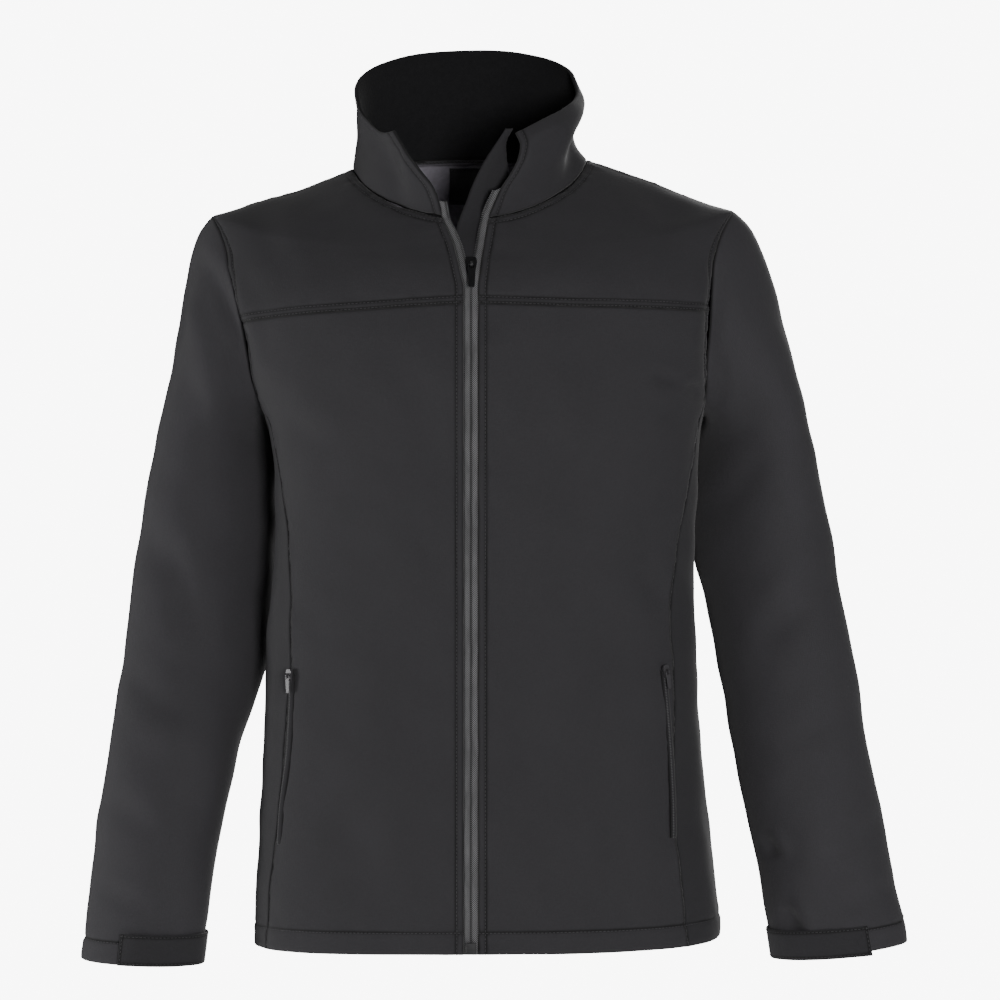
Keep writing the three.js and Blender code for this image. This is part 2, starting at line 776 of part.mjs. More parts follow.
// The armhole's spots in order from the shoulder tip over the front or the back, and the angle
// at which each one runs down the sleeve.
function sleeveRing(side) {
  const { front, back, under } = armholes[side];
  const frontDown = [...front].reverse();
  const backUp = back.slice(0, -1);
  const pairs = [...frontDown, ...under.slice(1), ...backUp.slice(1)];
  const sign = signOf[side];
  const spots = pairs.map(({ angle, way }) => ({
    point: bodyPoint(sign * angle, way),
    normal: surfaceNormal(bodyPoint, sign * angle, way),
    scale: 1,
  }));
  const lengths = spots.map((spot, k) => spot.point.distanceTo(spots[(k + 1) % spots.length].point));
  const whole = lengths.reduce((sum, length) => sum + length, 0);
  let walked = 0;
  spots.forEach((spot, k) => {
    spot.degrees = (360 * walked) / whole;
    walked += lengths[k];
  });
  if (side === 'right') spots.push(...spots.splice(1).reverse());
  return spots;
}

function sleeveGrid(side) {
  const ring = sleeveRing(side);
  const sign = signOf[side];
  const rows = [ring.map((spot) => spot.point.clone())];
  for (let row = 1; row <= CAP_ROWS; row += 1) {
    const t = row / CAP_ROWS;
    const u = 1 - t;
    rows.push(ring.map(({ point, degrees }) => {
      const end = plainSleeve(side, degrees, 0);
      const next = plainSleeve(side, degrees, SLEEVE_START.reach);
      const span = point.distanceTo(end);
      const high = (1 + Math.cos(radians(degrees))) / 2;
      const out = mix(SLEEVE_START.bottom[0], SLEEVE_START.top[0], high);
      const down = mix(SLEEVE_START.bottom[1], SLEEVE_START.top[1], high);
      const leave = new THREE.Vector3(sign * out, 0, down).multiplyScalar(span * SLEEVE_PULL[side]);
      const arrive = next.sub(end).normalize().multiplyScalar(span);
      const place = point.clone().multiplyScalar((1 + 2 * t) * u * u);
      place.addScaledVector(leave, t * u * u).addScaledVector(end, (1 + 2 * u) * t * t);
      return place.addScaledVector(arrive, -u * t * t);
    }));
  }
  for (let row = 1; row <= ARM_ROWS; row += 1) {
    const way = (arms[side].length * row) / ARM_ROWS;
    rows.push(ring.map(({ degrees }) => plainSleeve(side, degrees, way)));
  }
  const plain = gridOf(rows, true);
  const folded = plain.map((row, j) => row.map(({ point, normal }) => {
    const eased = clamp(j / FOLD_START);
    return point.clone().addScaledVector(normal, foldDepth(point) * eased);
  }));
  const grid = gridOf(folded, true);
  grid[0].forEach((spot, k) => {
    const first = { normal: ring[k].normal.clone() };
    foldSeam(first, spot);
  });
  return grid;
}

const sleeveGrids = { right: sleeveGrid('right'), left: sleeveGrid('left') };

// The body's spots on an armhole take the wall direction that the sleeve has there.
function shareArmhole(grid, side) {
  for (const row of grid) {
    for (const spot of row) {
      const twin = sleeveGrids[side][0].find((other) => other.point.distanceTo(spot.point) < SAME_SPOT);
      if (twin) {
        spot.flat = spot.normal;
        spot.normal = twin.normal.clone();
        spot.scale = twin.scale;
      }
    }
  }
}

const bodyGrids = {
  front_right: frontGrid('right'),
  front_left: frontGrid('left'),
  yoke_right: yokeGrid('right'),
  yoke_left: yokeGrid('left'),
  side_right: sideGrid('right'),
  side_left: sideGrid('left'),
  back: backGrid(),
};
for (const [name, grid] of Object.entries(bodyGrids)) {
  if (name.endsWith('right') || name === 'back') shareArmhole(grid, 'right');
  if (name.endsWith('left') || name === 'back') shareArmhole(grid, 'left');
}

// Collar

// Spots along the neck seam, from the wearer's left front round the back to the right front.
function neckSpots() {
  const yokeLeft = bodyGrids.yoke_left.at(-1);
  const back = bodyGrids.back.at(-1);
  const yokeRight = bodyGrids.yoke_right.at(-1);
  return [...yokeLeft, ...back.slice(1), ...yokeRight.slice(1)];
}

function shares(points) {
  const walked = [0];
  for (let k = 1; k < points.length; k += 1) {
    walked.push(walked[k - 1] + points[k].distanceTo(points[k - 1]));
  }
  return walked.map((length) => length / walked.at(-1));
}

function vector({ x, y, z }) {
  return new THREE.Vector3(x, y, z);
}

function collarSwell(share) {
  const k = Math.max(1, COLLAR_ROLL.findIndex((row) => row.share >= share));
  const [low, high] = [COLLAR_ROLL[k - 1], COLLAR_ROLL[k]];
  const t = clamp((share - low.share) / (high.share - low.share));
  return mix(low.swell, high.swell, t * t * (3 - 2 * t));
}

// Share of the swell at a height, 1 where it is fullest.
function waistShare(height) {
  const { rise, fall } = COLLAR_WAIST;
  const shape = (h) => h ** rise * (1 - h) ** fall;
  return shape(height) / shape(rise / (rise + fall));
}

function collarGrid() {
  const base = neckSpots().map((spot) => spot.point);
  const top = new THREE.CatmullRomCurve3(COLLAR_TOP.map(vector), false, 'centripetal');
  const along = shares(base);
  const edge = (side, low, high) => {
    const points = [low, ...COLLAR_FRONT[side].map(vector), high];
    return new THREE.CatmullRomCurve3(points, false, 'centripetal').getSpacedPoints(COLLAR_ROWS);
  };
  const topPoints = along.map((share) => top.getPointAt(share));
  const start = edge('left', base[0], topPoints[0]);
  const end = edge('right', base.at(-1), topPoints.at(-1));
  const rows = [];
  for (let j = 0; j <= COLLAR_ROWS; j += 1) {
    const w = j / COLLAR_ROWS;
    rows.push(along.map((u, i) => {
      const point = new THREE.Vector3();
      point.addScaledVector(base[i], 1 - w).addScaledVector(topPoints[i], w);
      point.addScaledVector(start[j], 1 - u).addScaledVector(end[j], u);
      point.addScaledVector(base[0], -(1 - u) * (1 - w)).addScaledVector(base.at(-1), -u * (1 - w));
      point.addScaledVector(topPoints[0], -(1 - u) * w).addScaledVector(topPoints.at(-1), -u * w);
      return point;
    }));
  }
  const plain = gridOf(rows);
  const rolled = plain.map((row, j) => row.map(({ point, normal }, i) => {
    const height = j / COLLAR_ROWS;
    return point.clone().addScaledVector(normal, collarSwell(along[i]) * waistShare(height));
  }));
  return gridOf(rolled);
}

const collar = collarGrid();
neckSpots().forEach((spot, k) => {
  const twin = collar[0][k];
  foldSeam(spot, twin);
});
// The shoulder seams' ends lie in two panels each, so the second one follows the first.
for (const [first, second] of [
  [bodyGrids.yoke_left.at(-1).at(-1), bodyGrids.back.at(-1)[0]],
  [bodyGrids.back.at(-1).at(-1), bodyGrids.yoke_right.at(-1)[0]],
]) {
  second.normal = first.normal.clone();
  second.scale = first.scale;
}

const collarInner = collar.map((row) => row.map(({ point, normal, scale }) => ({
  point: point.clone().addScaledVector(normal, -(CLOTH + SEAM_GAP) * scale),
  normal: normal.clone(),
  scale: Math.min(scale, INNER_SCALE),
})));

drawBack(collar, ['bottom']);
const seams = {
  front_right: ['start', 'top'],
  front_left: ['end', 'top'],
  yoke_right: ['start', 'bottom', 'top'],
  yoke_left: ['end', 'bottom', 'top'],
  side_right: ['start', 'end', 'top'],
  side_left: ['start', 'end', 'top'],
  back: ['start', 'end', 'top'],
};
for (const [name, grid] of Object.entries(bodyGrids)) {
  drawBack(grid, seams[name]);
  addPiece(name, wall(grid, CLOTH), name.startsWith('side') ? 'side' : 'cloth');
}
for (const side of ['right', 'left']) {
  drawBack(sleeveGrids[side], ['bottom'], true);
  addPiece(`sleeve_${side}`, wall(sleeveGrids[side], CLOTH, 0, true), 'cloth');
}
addPiece('collar', wall(collar, CLOTH), 'cloth');
addPiece('collar_inner', wall(collarInner, FLEECE), 'fleece');

// Zip tapes, from the free front edges towards the middle

function tapeGrid(side) {
  const rimOf = (row) => (side === 'right' ? [row.at(-1), row.at(-2)] : [row[0], row[1]]);
  const pairs = [
    ...bodyGrids[`front_${side}`].map(rimOf),
    ...bodyGrids[`yoke_${side}`].slice(1).map(rimOf),
    ...collar.slice(1, 1 + ZIP.collarRows[side]).map(rimOf),
  ];
  return pairs.map(([rim, inside]) => {
    const away = rim.point.clone().sub(inside.point);
    away.addScaledVector(rim.normal, -away.dot(rim.normal)).normalize();
    const near = rim.point.clone().addScaledVector(away, SEAM_GAP);
    const far = rim.point.clone().addScaledVector(away, SEAM_GAP + ZIP.reach);
    const row = side === 'right' ? [near, far] : [far, near];
    return row.map((point) => ({ point, normal: rim.normal.clone(), scale: 1 }));
  });
}

for (const side of ['right', 'left']) {
  addPiece(`zip_tape_${side}`, wall(tapeGrid(side), ZIP.sink + TAPE, -ZIP.sink), 'tape');
}

// Solids for cuts and joins

function solidOf(geometry) {
  const bare = geometry.clone();
  bare.deleteAttribute('normal');
  bare.deleteAttribute('uv');
  const merged = mergeVertices(bare, 1e-4);
  return new wasm.Manifold(new wasm.Mesh({
    numProp: 3,
    vertProperties: Float32Array.from(merged.attributes.position.array),
    triVerts: Uint32Array.from(merged.index.array),
  }));
}

function geometryOf(solid) {
  const mesh = solid.getMesh();
  const geometry = new THREE.BufferGeometry();
  geometry.setAttribute('position', new THREE.BufferAttribute(mesh.vertProperties, 3));
  geometry.setIndex(new THREE.BufferAttribute(mesh.triVerts, 1));
  return geometry;
}

// Zip heads. The head's own x runs across the zip, its z up along it, and -y outwards.

function sliderGeometry() {
  const outline = new THREE.Shape();
  const half = HEAD.width / 2;
  outline.moveTo(-HEAD.nose / 2, -HEAD.height / 2);
  outline.lineTo(HEAD.nose / 2, -HEAD.height / 2);
  outline.lineTo(half, HEAD.shoulder);
  outline.quadraticCurveTo(half, HEAD.height / 2, half / 2, HEAD.height / 2);
  outline.lineTo(-half / 2, HEAD.height / 2);
  outline.quadraticCurveTo(-half, HEAD.height / 2, -half, HEAD.shoulder);
  const plateCut = { depth: HEAD.thick, bevelEnabled: false, curveSegments: HEAD.cornerSegments };
  const plate = new THREE.ExtrudeGeometry(outline, plateCut);
  plate.rotateX(Math.PI / 2);
  const ring = new THREE.Shape();
  ring.absarc(0, 0, HEAD.ringOuter, 0, 2 * Math.PI);
  const hole = new THREE.Path();
  hole.absarc(0, 0, HEAD.ringInner, 0, 2 * Math.PI, true);
  ring.holes.push(hole);
  const ringCut = { depth: HEAD.ringWidth, bevelEnabled: false, curveSegments: HEAD.ringSegments };
  const bail = new THREE.ExtrudeGeometry(ring, ringCut);
  bail.translate(0, 0, -HEAD.ringWidth / 2).rotateY(Math.PI / 2);
  bail.translate(0, -HEAD.thick - HEAD.rise, 0);
  return geometryOf(solidOf(plate).add(solidOf(bail)));
}

function pullGeometry() {
  const [wide, tall] = HEAD.window;
  const half = HEAD.pullWidth / 2;
  const outline = new THREE.Shape();
  outline.moveTo(half, -HEAD.bar);
  outline.lineTo(half - HEAD.bar, HEAD.bar);
  outline.lineTo(HEAD.bar - half, HEAD.bar);
  outline.lineTo(-half, -HEAD.bar);
  outline.lineTo(-HEAD.pullEnd / 2, HEAD.pullCorner - HEAD.pullLength);
  outline.lineTo(HEAD.pullCorner - HEAD.pullEnd / 2, -HEAD.pullLength);
  outline.lineTo(HEAD.pullEnd / 2 - HEAD.pullCorner, -HEAD.pullLength);
  outline.lineTo(HEAD.pullEnd / 2, HEAD.pullCorner - HEAD.pullLength);
  const window = new THREE.Path();
  window.moveTo(-wide / 2, -HEAD.bar);
  window.lineTo(wide / 2, -HEAD.bar);
  window.lineTo(wide / 2, -HEAD.bar - tall);
  window.lineTo(-wide / 2, -HEAD.bar - tall);
  outline.holes.push(window);
  const plate = new THREE.ExtrudeGeometry(outline, { depth: HEAD.pullThick, bevelEnabled: false });
  plate.translate(0, 0, -HEAD.pullThick / 2).rotateX(Math.PI / 2);
  return plate.translate(0, -HEAD.thick - HEAD.rise, 0);
}

// Places a zip head at a spot of the body, its z along the zip.
function addHead(sliderName, pullName, spot, up, scale) {
  const inward = spot.normal.clone().negate();
  const across = inward.clone().cross(up).normalize();
  const along = across.clone().cross(inward);
  const place = new THREE.Matrix4().makeBasis(across, inward, along);
  place.scale(new THREE.Vector3(scale, scale, scale)).setPosition(spot.point);
  addPiece(sliderName, sliderGeometry().applyMatrix4(place), 'metal');
  addPiece(pullName, pullGeometry().applyMatrix4(place), 'metal');
}

// The spot of the body at a distance from the zip's plane and a height, in front or behind.
function bodySpot(side, x, z, behind = false) {
  const middle = behind ? 180 : 0;
  let angle = mix(middle, 90, 0.5);
  let way = wayAt(side, angle, z);
  for (let step = 0; step < SETTLE_STEPS / 2; step += 1) {
    angle = meet((a) => Math.abs(plainBody(signOf[side] * a, way).x), x, middle, 90);
    way = wayAt(side, angle, z);
  }
  const signed = signOf[side] * angle;
  return { point: bodyPoint(signed, way), normal: surfaceNormal(bodyPoint, signed, way), scale: 1 };
}

const sliderSpot = bodySpot('left', SLIDER.x, SLIDER.z);
const sliderTop = bodySpot('left', SLIDER.x, SLIDER.z + SLIDER.reach).point;
const sliderFoot = bodySpot('left', SLIDER.x, SLIDER.z - SLIDER.reach).point;
addHead('zip_slider', 'zip_pull', sliderSpot, sliderTop.sub(sliderFoot), 1);

const boxSpot = bodySpot('left', SLIDER.x, ZIP_BOX.z);
const box = new THREE.BoxGeometry(ZIP_BOX.width, ZIP_BOX.thick, ZIP_BOX.height);
box.translate(0, boxSpot.point.y - ZIP_BOX.thick / 2, ZIP_BOX.z);
addPiece('zip_box', box, 'metal');

// Pocket zips, laid on the fronts

function pocketGrid(side) {
  const points = POCKETS[side].map(({ x, z }) => new THREE.Vector3(x, 0, z));
  const path = new THREE.CatmullRomCurve3(points, false, 'centripetal');
  const spots = path.getSpacedPoints(POCKET.rows).map(({ x, z }) => bodySpot(side, x, z)).reverse();
  return spots.map((spot, k) => {
    const low = spots[Math.max(0, k - 1)].point;
    const up = spots[Math.min(spots.length - 1, k + 1)].point.clone().sub(low);
    const across = up.cross(spot.normal).normalize();
    return [-0.5, 0, 0.5].map((share) => ({
      point: spot.point.clone().addScaledVector(across, share * POCKET.width),
      normal: spot.normal,
      scale: 1,
    }));
  });
}

for (const side of ['right', 'left']) {
  const grid = pocketGrid(side);
  addPiece(`pocket_zip_${side}`, wall(grid, -POCKET.lift, POCKET.lift + TAPE), 'tape');
  const top = grid.at(-1)[1];
  const below = grid.at(-2)[1];
  const up = top.point.clone().sub(below.point);
  const rest = top.point.clone().addScaledVector(top.normal, TAPE + 3 * POCKET.lift);
  rest.addScaledVector(up.clone().normalize(), -POCKET.headDrop);
  const spot = { point: rest, normal: top.normal };
  addHead(`pocket_slider_${side}`, `pocket_pull_${side}`, spot, up, POCKET.scale);
}

// Storm flap

function flapGrid() {
  const rows = [];
  for (let row = 0; row <= STORM_FLAP.rows; row += 1) {
    const z = mix(STORM_FLAP.from, STORM_FLAP.to, row / STORM_FLAP.rows);
    rows.push([-1, 0, 1].map((share) => {
      const x = STORM_FLAP.x + share * STORM_FLAP.half;
      const spot = bodySpot(x < 0 ? 'right' : 'left', Math.abs(x), z);
      return spot.point.addScaledVector(spot.normal, -STORM_FLAP.depth);
    }));
  }
  const tongue = FLAP_TONGUE.map(vector);
  const path = new THREE.CatmullRomCurve3([rows.at(-1)[1].clone(), ...tongue], false, 'centripetal');
  const places = [0, ...FLAP_TONGUE.map((_, k) => (k + 1) / FLAP_TONGUE.length)];
  const half = smooth(places, [STORM_FLAP.half, ...FLAP_TONGUE.map((row) => row.half)]);
  const turn = smooth(places, [0, ...FLAP_TONGUE.map((row) => row.turn)]);
  for (let row = 1; row <= TONGUE_ROWS; row += 1) {
    const share = row / TONGUE_ROWS;
    const middle = path.getPoint(share);
    const heading = radians(turn(share));
    const across = new THREE.Vector3(Math.cos(heading), Math.sin(heading), 0);
    rows.push([-1, 0, 1].map((side) => middle.clone().addScaledVector(across, side * half(share))));
  }
  return gridOf(rows);
}

addPiece('storm_flap', wall(flapGrid(), FLAP_CLOTH), 'side');

// Neck tape and label, on the inside of the back

const backInside = bodyGrids.back.map((row) => row.map(({ point, normal, scale }) => (
  point.clone().addScaledVector(normal, -CLOTH * scale))));

function insideSpot(down, column) {
  const j = Math.min(Math.floor(down), backInside.length - 2);
  const i = Math.floor(column);
  const high = backInside.at(-1 - j);
  const low = backInside.at(-2 - j);
  const next = Math.min(i + 1, high.length - 1);
  const top = high[i].clone().lerp(high[next], column - i);
  return top.lerp(low[i].clone().lerp(low[next], column - i), down - j);
}

function neckTapeGrid() {
  const points = [NECK_TAPE.bottom, NECK_TAPE.top].map((down) => {
    const row = [];
    for (let column = NECK_TAPE.from; column <= NECK_TAPE.to; column += 1) {
      row.push(insideSpot(down, column));
    }
    return row;
  });
  return gridOf(points);
}

function labelGrid() {
  const rows = [];
  for (let j = 0; j <= LABEL.rows; j += 1) {
    const z = LABEL.z + LABEL.height * (j / LABEL.rows - 0.5);
    const row = [];
    for (let i = 0; i <= LABEL.columns; i += 1) {
      const x = LABEL.x + LABEL.width * (0.5 - i / LABEL.columns);
      row.push(bodySpot(x < 0 ? 'right' : 'left', Math.abs(x), z, true));
    }
    rows.push(row);
  }
  return rows;
}

const tapeLift = NECK_TAPE.lift;
addPiece('neck_tape', wall(neckTapeGrid(), tapeLift + NECK_TAPE.thick, -tapeLift), 'neck');
const labelLift = CLOTH + LABEL.lift;
addPiece('neck_label', wall(labelGrid(), labelLift + LABEL.thick, -labelLift), 'label');

// Cuff tabs, laid round the cuffs

function tabGrid(side) {
  const tab = CUFF_TABS[side];
  const length = arms[side].length;
  const spot = (angle, way) => {
    const round = plainSleeve(side, angle + 1, way).sub(plainSleeve(side, angle - 1, way));
    const down = plainSleeve(side, angle, way + 1).sub(plainSleeve(side, angle, way - 1));
    const normal = round.cross(down).normalize();
    if (side === 'right') normal.negate();
    return { point: plainSleeve(side, angle, way), normal, scale: 1 };
  };
  const rows = [TAB.rise, tab.height].map((up) => {
    const row = [];
    for (let k = 0; k <= TAB.columns; k += 1) {
      const share = k / TAB.columns;
      const sag = tab.sag * (1 - share) ** 2;
      row.push(spot(mix(tab.end, tab.start, share), length - up + sag));
    }
    return side === 'right' ? row : row.reverse();
  });
  return rows;
}

for (const side of ['right', 'left']) {
  addPiece(`cuff_tab_${side}`, wall(tabGrid(side), -TAB.lift, TAB.lift + TAB.thick), 'side');
}

export default jacket;
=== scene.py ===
import math

import bmesh
import bpy
import numpy as np
from bpy.props import FloatProperty, FloatVectorProperty, PointerProperty
from bpy.types import Operator, Panel, PropertyGroup
from mathutils import Matrix, Vector


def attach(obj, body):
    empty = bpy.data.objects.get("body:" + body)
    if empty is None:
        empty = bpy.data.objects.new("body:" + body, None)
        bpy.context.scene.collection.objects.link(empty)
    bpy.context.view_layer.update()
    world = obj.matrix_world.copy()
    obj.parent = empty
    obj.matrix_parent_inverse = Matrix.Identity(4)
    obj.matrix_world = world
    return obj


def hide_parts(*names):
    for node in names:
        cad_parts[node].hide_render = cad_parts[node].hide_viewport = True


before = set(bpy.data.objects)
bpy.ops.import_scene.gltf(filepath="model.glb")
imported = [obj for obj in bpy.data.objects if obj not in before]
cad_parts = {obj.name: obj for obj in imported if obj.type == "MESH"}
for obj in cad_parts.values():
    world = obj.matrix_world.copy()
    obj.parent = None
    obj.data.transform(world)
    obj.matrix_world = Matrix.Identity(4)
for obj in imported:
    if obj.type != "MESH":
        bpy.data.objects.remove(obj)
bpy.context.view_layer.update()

bl_info = {
    "name": "Softshell jacket",
    "version": (1, 0, 0),
    "blender": (4, 5, 0),
    "location": "View3D > Sidebar > Jacket",
    "description": "Dresses the packed jacket with cloth, zips, stitching and a plain stage",
    "category": "Object",
}

MM = 0.001
BODY = "jacket"

# The four edges of a net: its columns run from start to end, its rows from the bottom up
EDGES = ("start", "end", "bottom", "top")
UPRIGHT_EDGES = ("start", "end")
FAR_EDGES = ("end", "top")

# How a sewn or folded edge is shaped: depth by distance from it, both in millimetres, and its stitch lines.
EDGE_SHAPES = {
    "joined": {"relief": ((0, -1.3), (0.8, -0.5), (2.2, -0.1), (4.5, 0)), "stitches": ()},
    "twin": {
        "relief": ((0, -1.3), (0.7, -0.7), (1.6, -0.55), (3, 0.15), (4.8, 0.2), (6.6, -0.5), (8.6, -0.05),
                   (11, 0)),
        "stitches": (1.6, 6.6),
    },
    "single": {"relief": ((0, -1.3), (0.7, -0.7), (1.6, -0.55), (3, 0.1), (6, 0)), "stitches": (1.6,)},
    "zip": {
        "relief": ((0, -1.3), (0.5, -0.4), (1.2, 0.05), (3, 0.3), (5, 0.15), (6.8, -0.55), (8.8, -0.1),
                   (11, 0)),
        "stitches": (6.8,),
    },
    "hem": {
        "relief": ((0, -1.3), (0.5, -0.3), (1.2, 0.1), (6, 0.5), (16, 0.5), (20, -0.7), (23, 0), (26, 0)),
        "stitches": (20,),
    },
    "folded": {"relief": ((0, -1.7), (0.5, -0.6), (1.4, 0), (3, 0)), "stitches": ()},
    "toothed": {"relief": ((0, -0.5), (0.5, -0.1), (1.2, 0)), "stitches": ()},
    "cut": {"relief": ((0, -0.5), (0.5, -0.1), (1.2, 0)), "stitches": (2.2,)},
}
DEEPEST = -1.7 * MM
SEWN_EDGES = ("joined", "twin", "single", "zip", "toothed")
SEAM_OVERLAP = 0.5 * MM
FAR_FROM_SEAM = 0.05
GATHER_REACH = 0.007  # how far a stitch line's puckers run into the cloth
WHOLE = (0, 99)  # from the first row or column to past the last one of any net

FRONT_EDGES = (("start", 0, 16, "single"), ("start", 16, 20, "twin"), ("end", 0, 20, "zip"),
               ("bottom", 0, 8, "hem"), ("top", 0, 8, "joined"))
YOKE_EDGES = (("start", 0, 6, "twin"), ("start", 6, 12, "single"), ("end", 0, 12, "zip"),
              ("bottom", 0, 8, "twin"), ("top", 0, 8, "twin"))
SIDE_EDGES = (("start", 0, 16, "joined"), ("end", 0, 16, "joined"), ("bottom", 0, 5, "hem"),
              ("top", 0, 5, "twin"))
BACK_EDGES = (("start", 0, 16, "single"), ("start", 16, 26, "twin"), ("start", 26, 32, "joined"),
              ("end", 0, 16, "single"), ("end", 16, 26, "twin"), ("end", 26, 32, "joined"),
              ("bottom", 0, 16, "hem"), ("top", 0, 16, "twin"))
COLLAR_EDGES = (("start", 0, 6, "zip"), ("end", 0, 6, "zip"), ("bottom", 0, 32, "joined"),
                ("top", 0, 32, "folded"))
INNER_EDGES = (("start", 0, 6, "folded"), ("end", 0, 6, "folded"), ("bottom", 0, 32, "joined"),
               ("top", 0, 32, "folded"))
FLAP_EDGES = (("start", 0, 23, "folded"), ("end", 0, 23, "folded"), ("top", 0, 2, "folded"))
SLEEVE_EDGES = (("bottom", 0, 25, "hem"), ("top", 0, 25, "joined"))


def mirrored(edges):
    """The same edges on the wearer's other side, where start and end change places."""
    other = {"start": "end", "end": "start"}
    return tuple((other.get(edge, edge), *rest) for edge, *rest in edges)


def panel(edges, columns=9, facing="out", finish="cloth", inside="lining", wall=2.0):
    """A cloth piece: its edges between rows or columns of the CAD net, the net's columns, which way its
    face looks, its two finishes and its thickness in millimetres."""
    return {"edges": edges, "columns": columns, "facing": facing, "finishes": (finish, inside), "wall": wall}


PANELS = {
    "front_right": panel(FRONT_EDGES),
    "front_left": panel(mirrored(FRONT_EDGES)),
    "yoke_right": panel(YOKE_EDGES),
    "yoke_left": panel(mirrored(YOKE_EDGES)),
    "side_right": panel(SIDE_EDGES, 6, finish="side_cloth"),
    "side_left": panel(SIDE_EDGES, 6, finish="side_cloth"),
    "back": panel(BACK_EDGES, 17),
    "collar": panel(COLLAR_EDGES, 33, inside="fleece"),
    "collar_inner": panel(INNER_EDGES, 33, "in", "fleece", "fleece", 1.5),
    "storm_flap": panel(FLAP_EDGES, 3, "front", "side_cloth", "side_cloth", 1.6),
}

# Narrow pieces: columns and facing of the CAD net, the longest edge through its wall, the step of the
# fine net and the thickness, these three in millimetres.
TRIMS = {
    "zip_tape": (2, "front", 3, 2.0, 0.8),
    "pocket_zip": (3, "out", 2, 1.5, 0.9),
    "neck_tape": (11, "front", 2, 2.0, 0.8),
    "neck_label": (5, "front", 2, 2.0, 0.7),
    "cuff_tab": (15, "large", 3, 2.5, 1.6),
}
# Teeth: how far from the edge and how deep behind the face, in millimetres, their share of the pitch
# that is set, and their length, width and height.
COIL = {"inset": 0.4, "behind": 0.9, "pitch": 1.0, "size": (3.0, 1.15, 1.3)}
POCKET_COIL = {"inset": 3.2, "behind": 0.0, "pitch": 0.8, "size": (2.6, 0.9, 0.8)}
POCKET_RIDGE = {"height": 0.7, "width": 0.16}  # in millimetres, and as a share of the strip's width
STITCH_LIFT = 0.1

# Creases seen from the front or from behind: ends in millimetres across and up, how far the line
# bows, half width, depth (minus is a ridge), and the share of a ridge on its upper side.
CREASES = {
    "front": (
        (-244, -80, -200, -190, 9, 8, 3.6, 0.6),
        (-252, -120, -226, -250, 7, 12, -2.0, 0),
        (-275, -336, -252, -428, 4, 13, 1.8, 0.4),
        (-306, -300, -240, -372, -6, 15, 1.6, 0.5),
        (-318, -440, -252, -492, -5, 13, 1.5, 0.5),
        (-328, -560, -268, -596, -4, 12, 1.3, 0.5),
        (-336, -640, -280, -662, -3, 9, 1.2, 0.6),
        (226, -86, 212, -186, -5, 8, 2.4, 0.5),
        (246, -130, 232, -240, -6, 12, -1.8, 0),
        (262, -250, 214, -318, 6, 12, 1.6, 0.5),
        (318, -360, 250, -424, 6, 15, 1.9, 0.5),
        (340, -470, 272, -520, 5, 13, 1.5, 0.5),
        (259, -602, 270, -619, 2, 6, 3.4, 0.6),
        (276, -664, 291, -686, 2, 7, 4.2, 0.5),
        (372, -580, 300, -618, 4, 11, 1.6, 0.5),
        (384, -640, 318, -662, 3, 9, 1.1, 0.5),
        (158, -191, 184, -197, 2, 5, 2.0, 0.7),
        (187, -199, 203, -203, 1, 4, 1.5, 0.6),
        (140, -214, 196, -238, 5, 10, 1.2, 0.4),
        (150, -352, 163, -394, 3, 10, 1.4, 0.4),
        (-176, -214, -120, -252, -6, 13, 1.2, 0.4),
        (-170, -380, -120, -440, 6, 16, 1.3, 0.4),
        (-112, -540, -96, -660, 5, 20, 1.2, 0.3),
        (96, -500, 120, -640, -5, 20, 1.2, 0.3),
        (-60, -160, -24, -250, -5, 15, 0.9, 0.3),
        (30, -165, 66, -260, 5, 15, 0.9, 0.3),
        (-92, 27, -63, -46, 7, 9, 3.2, 0.45),
        (-98, 40, -94, -10, 2, 8, 0.9, 0.4),
        (82, 29, 52, 9, 3, 5.5, 1.7, 0.4),
        (94, 20, 88, -24, -2, 8, 0.6, 0.3),
        (-190, -40, -150, -110, -6, 13, 1.1, 0.4),
        (176, -34, 150, -104, 5, 13, 1.0, 0.4),
    ),
    "back": (
        (-246, -92, -204, -198, 8, 10, 2.8, 0.5),
        (246, -92, 206, -198, -8, 10, 2.6, 0.5),
        (-308, -310, -236, -384, -6, 14, 2.0, 0.5),
        (-322, -430, -250, -486, -5, 13, 1.6, 0.5),
        (-332, -560, -266, -592, -4, 12, 1.4, 0.5),
        (322, -330, 258, -404, 6, 14, 2.0, 0.5),
        (344, -450, 276, -500, 5, 13, 1.6, 0.5),
        (370, -570, 300, -606, 4, 12, 1.4, 0.5),
        (-170, -200, -96, -262, -8, 15, 1.9, 0.5),
        (172, -196, 92, -266, 8, 15, 1.8, 0.5),
        (-150, -452, 40, -478, -7, 15, 1.8, 0.5),
        (150, -430, -10, -452, 6, 15, 1.6, 0.5),
        (-60, -520, 120, -500, 8, 15, 1.4, 0.5),
        (-128, -560, -60, -640, 6, 18, 1.3, 0.4),
        (110, -560, 70, -650, -5, 18, 1.2, 0.4),
        (-70, -60, 60, -66, -6, 14, 1.1, 0.4),
        (-60, 60, -40, 10, 3, 10, 1.2, 0.4),
        (50, 62, 36, 8, -3, 10, 1.2, 0.4),
    ),
}
CREASE_STEPS = 12
TURNED = {"slope": 2, "start": 0.3}  # how creases fade where the cloth turns to the other side
RIDGE_PLACE = 1.9  # half widths from a crease's line to the ridge above it
CREASE_FADE = 0.7  # power of the fall towards a crease's two ends
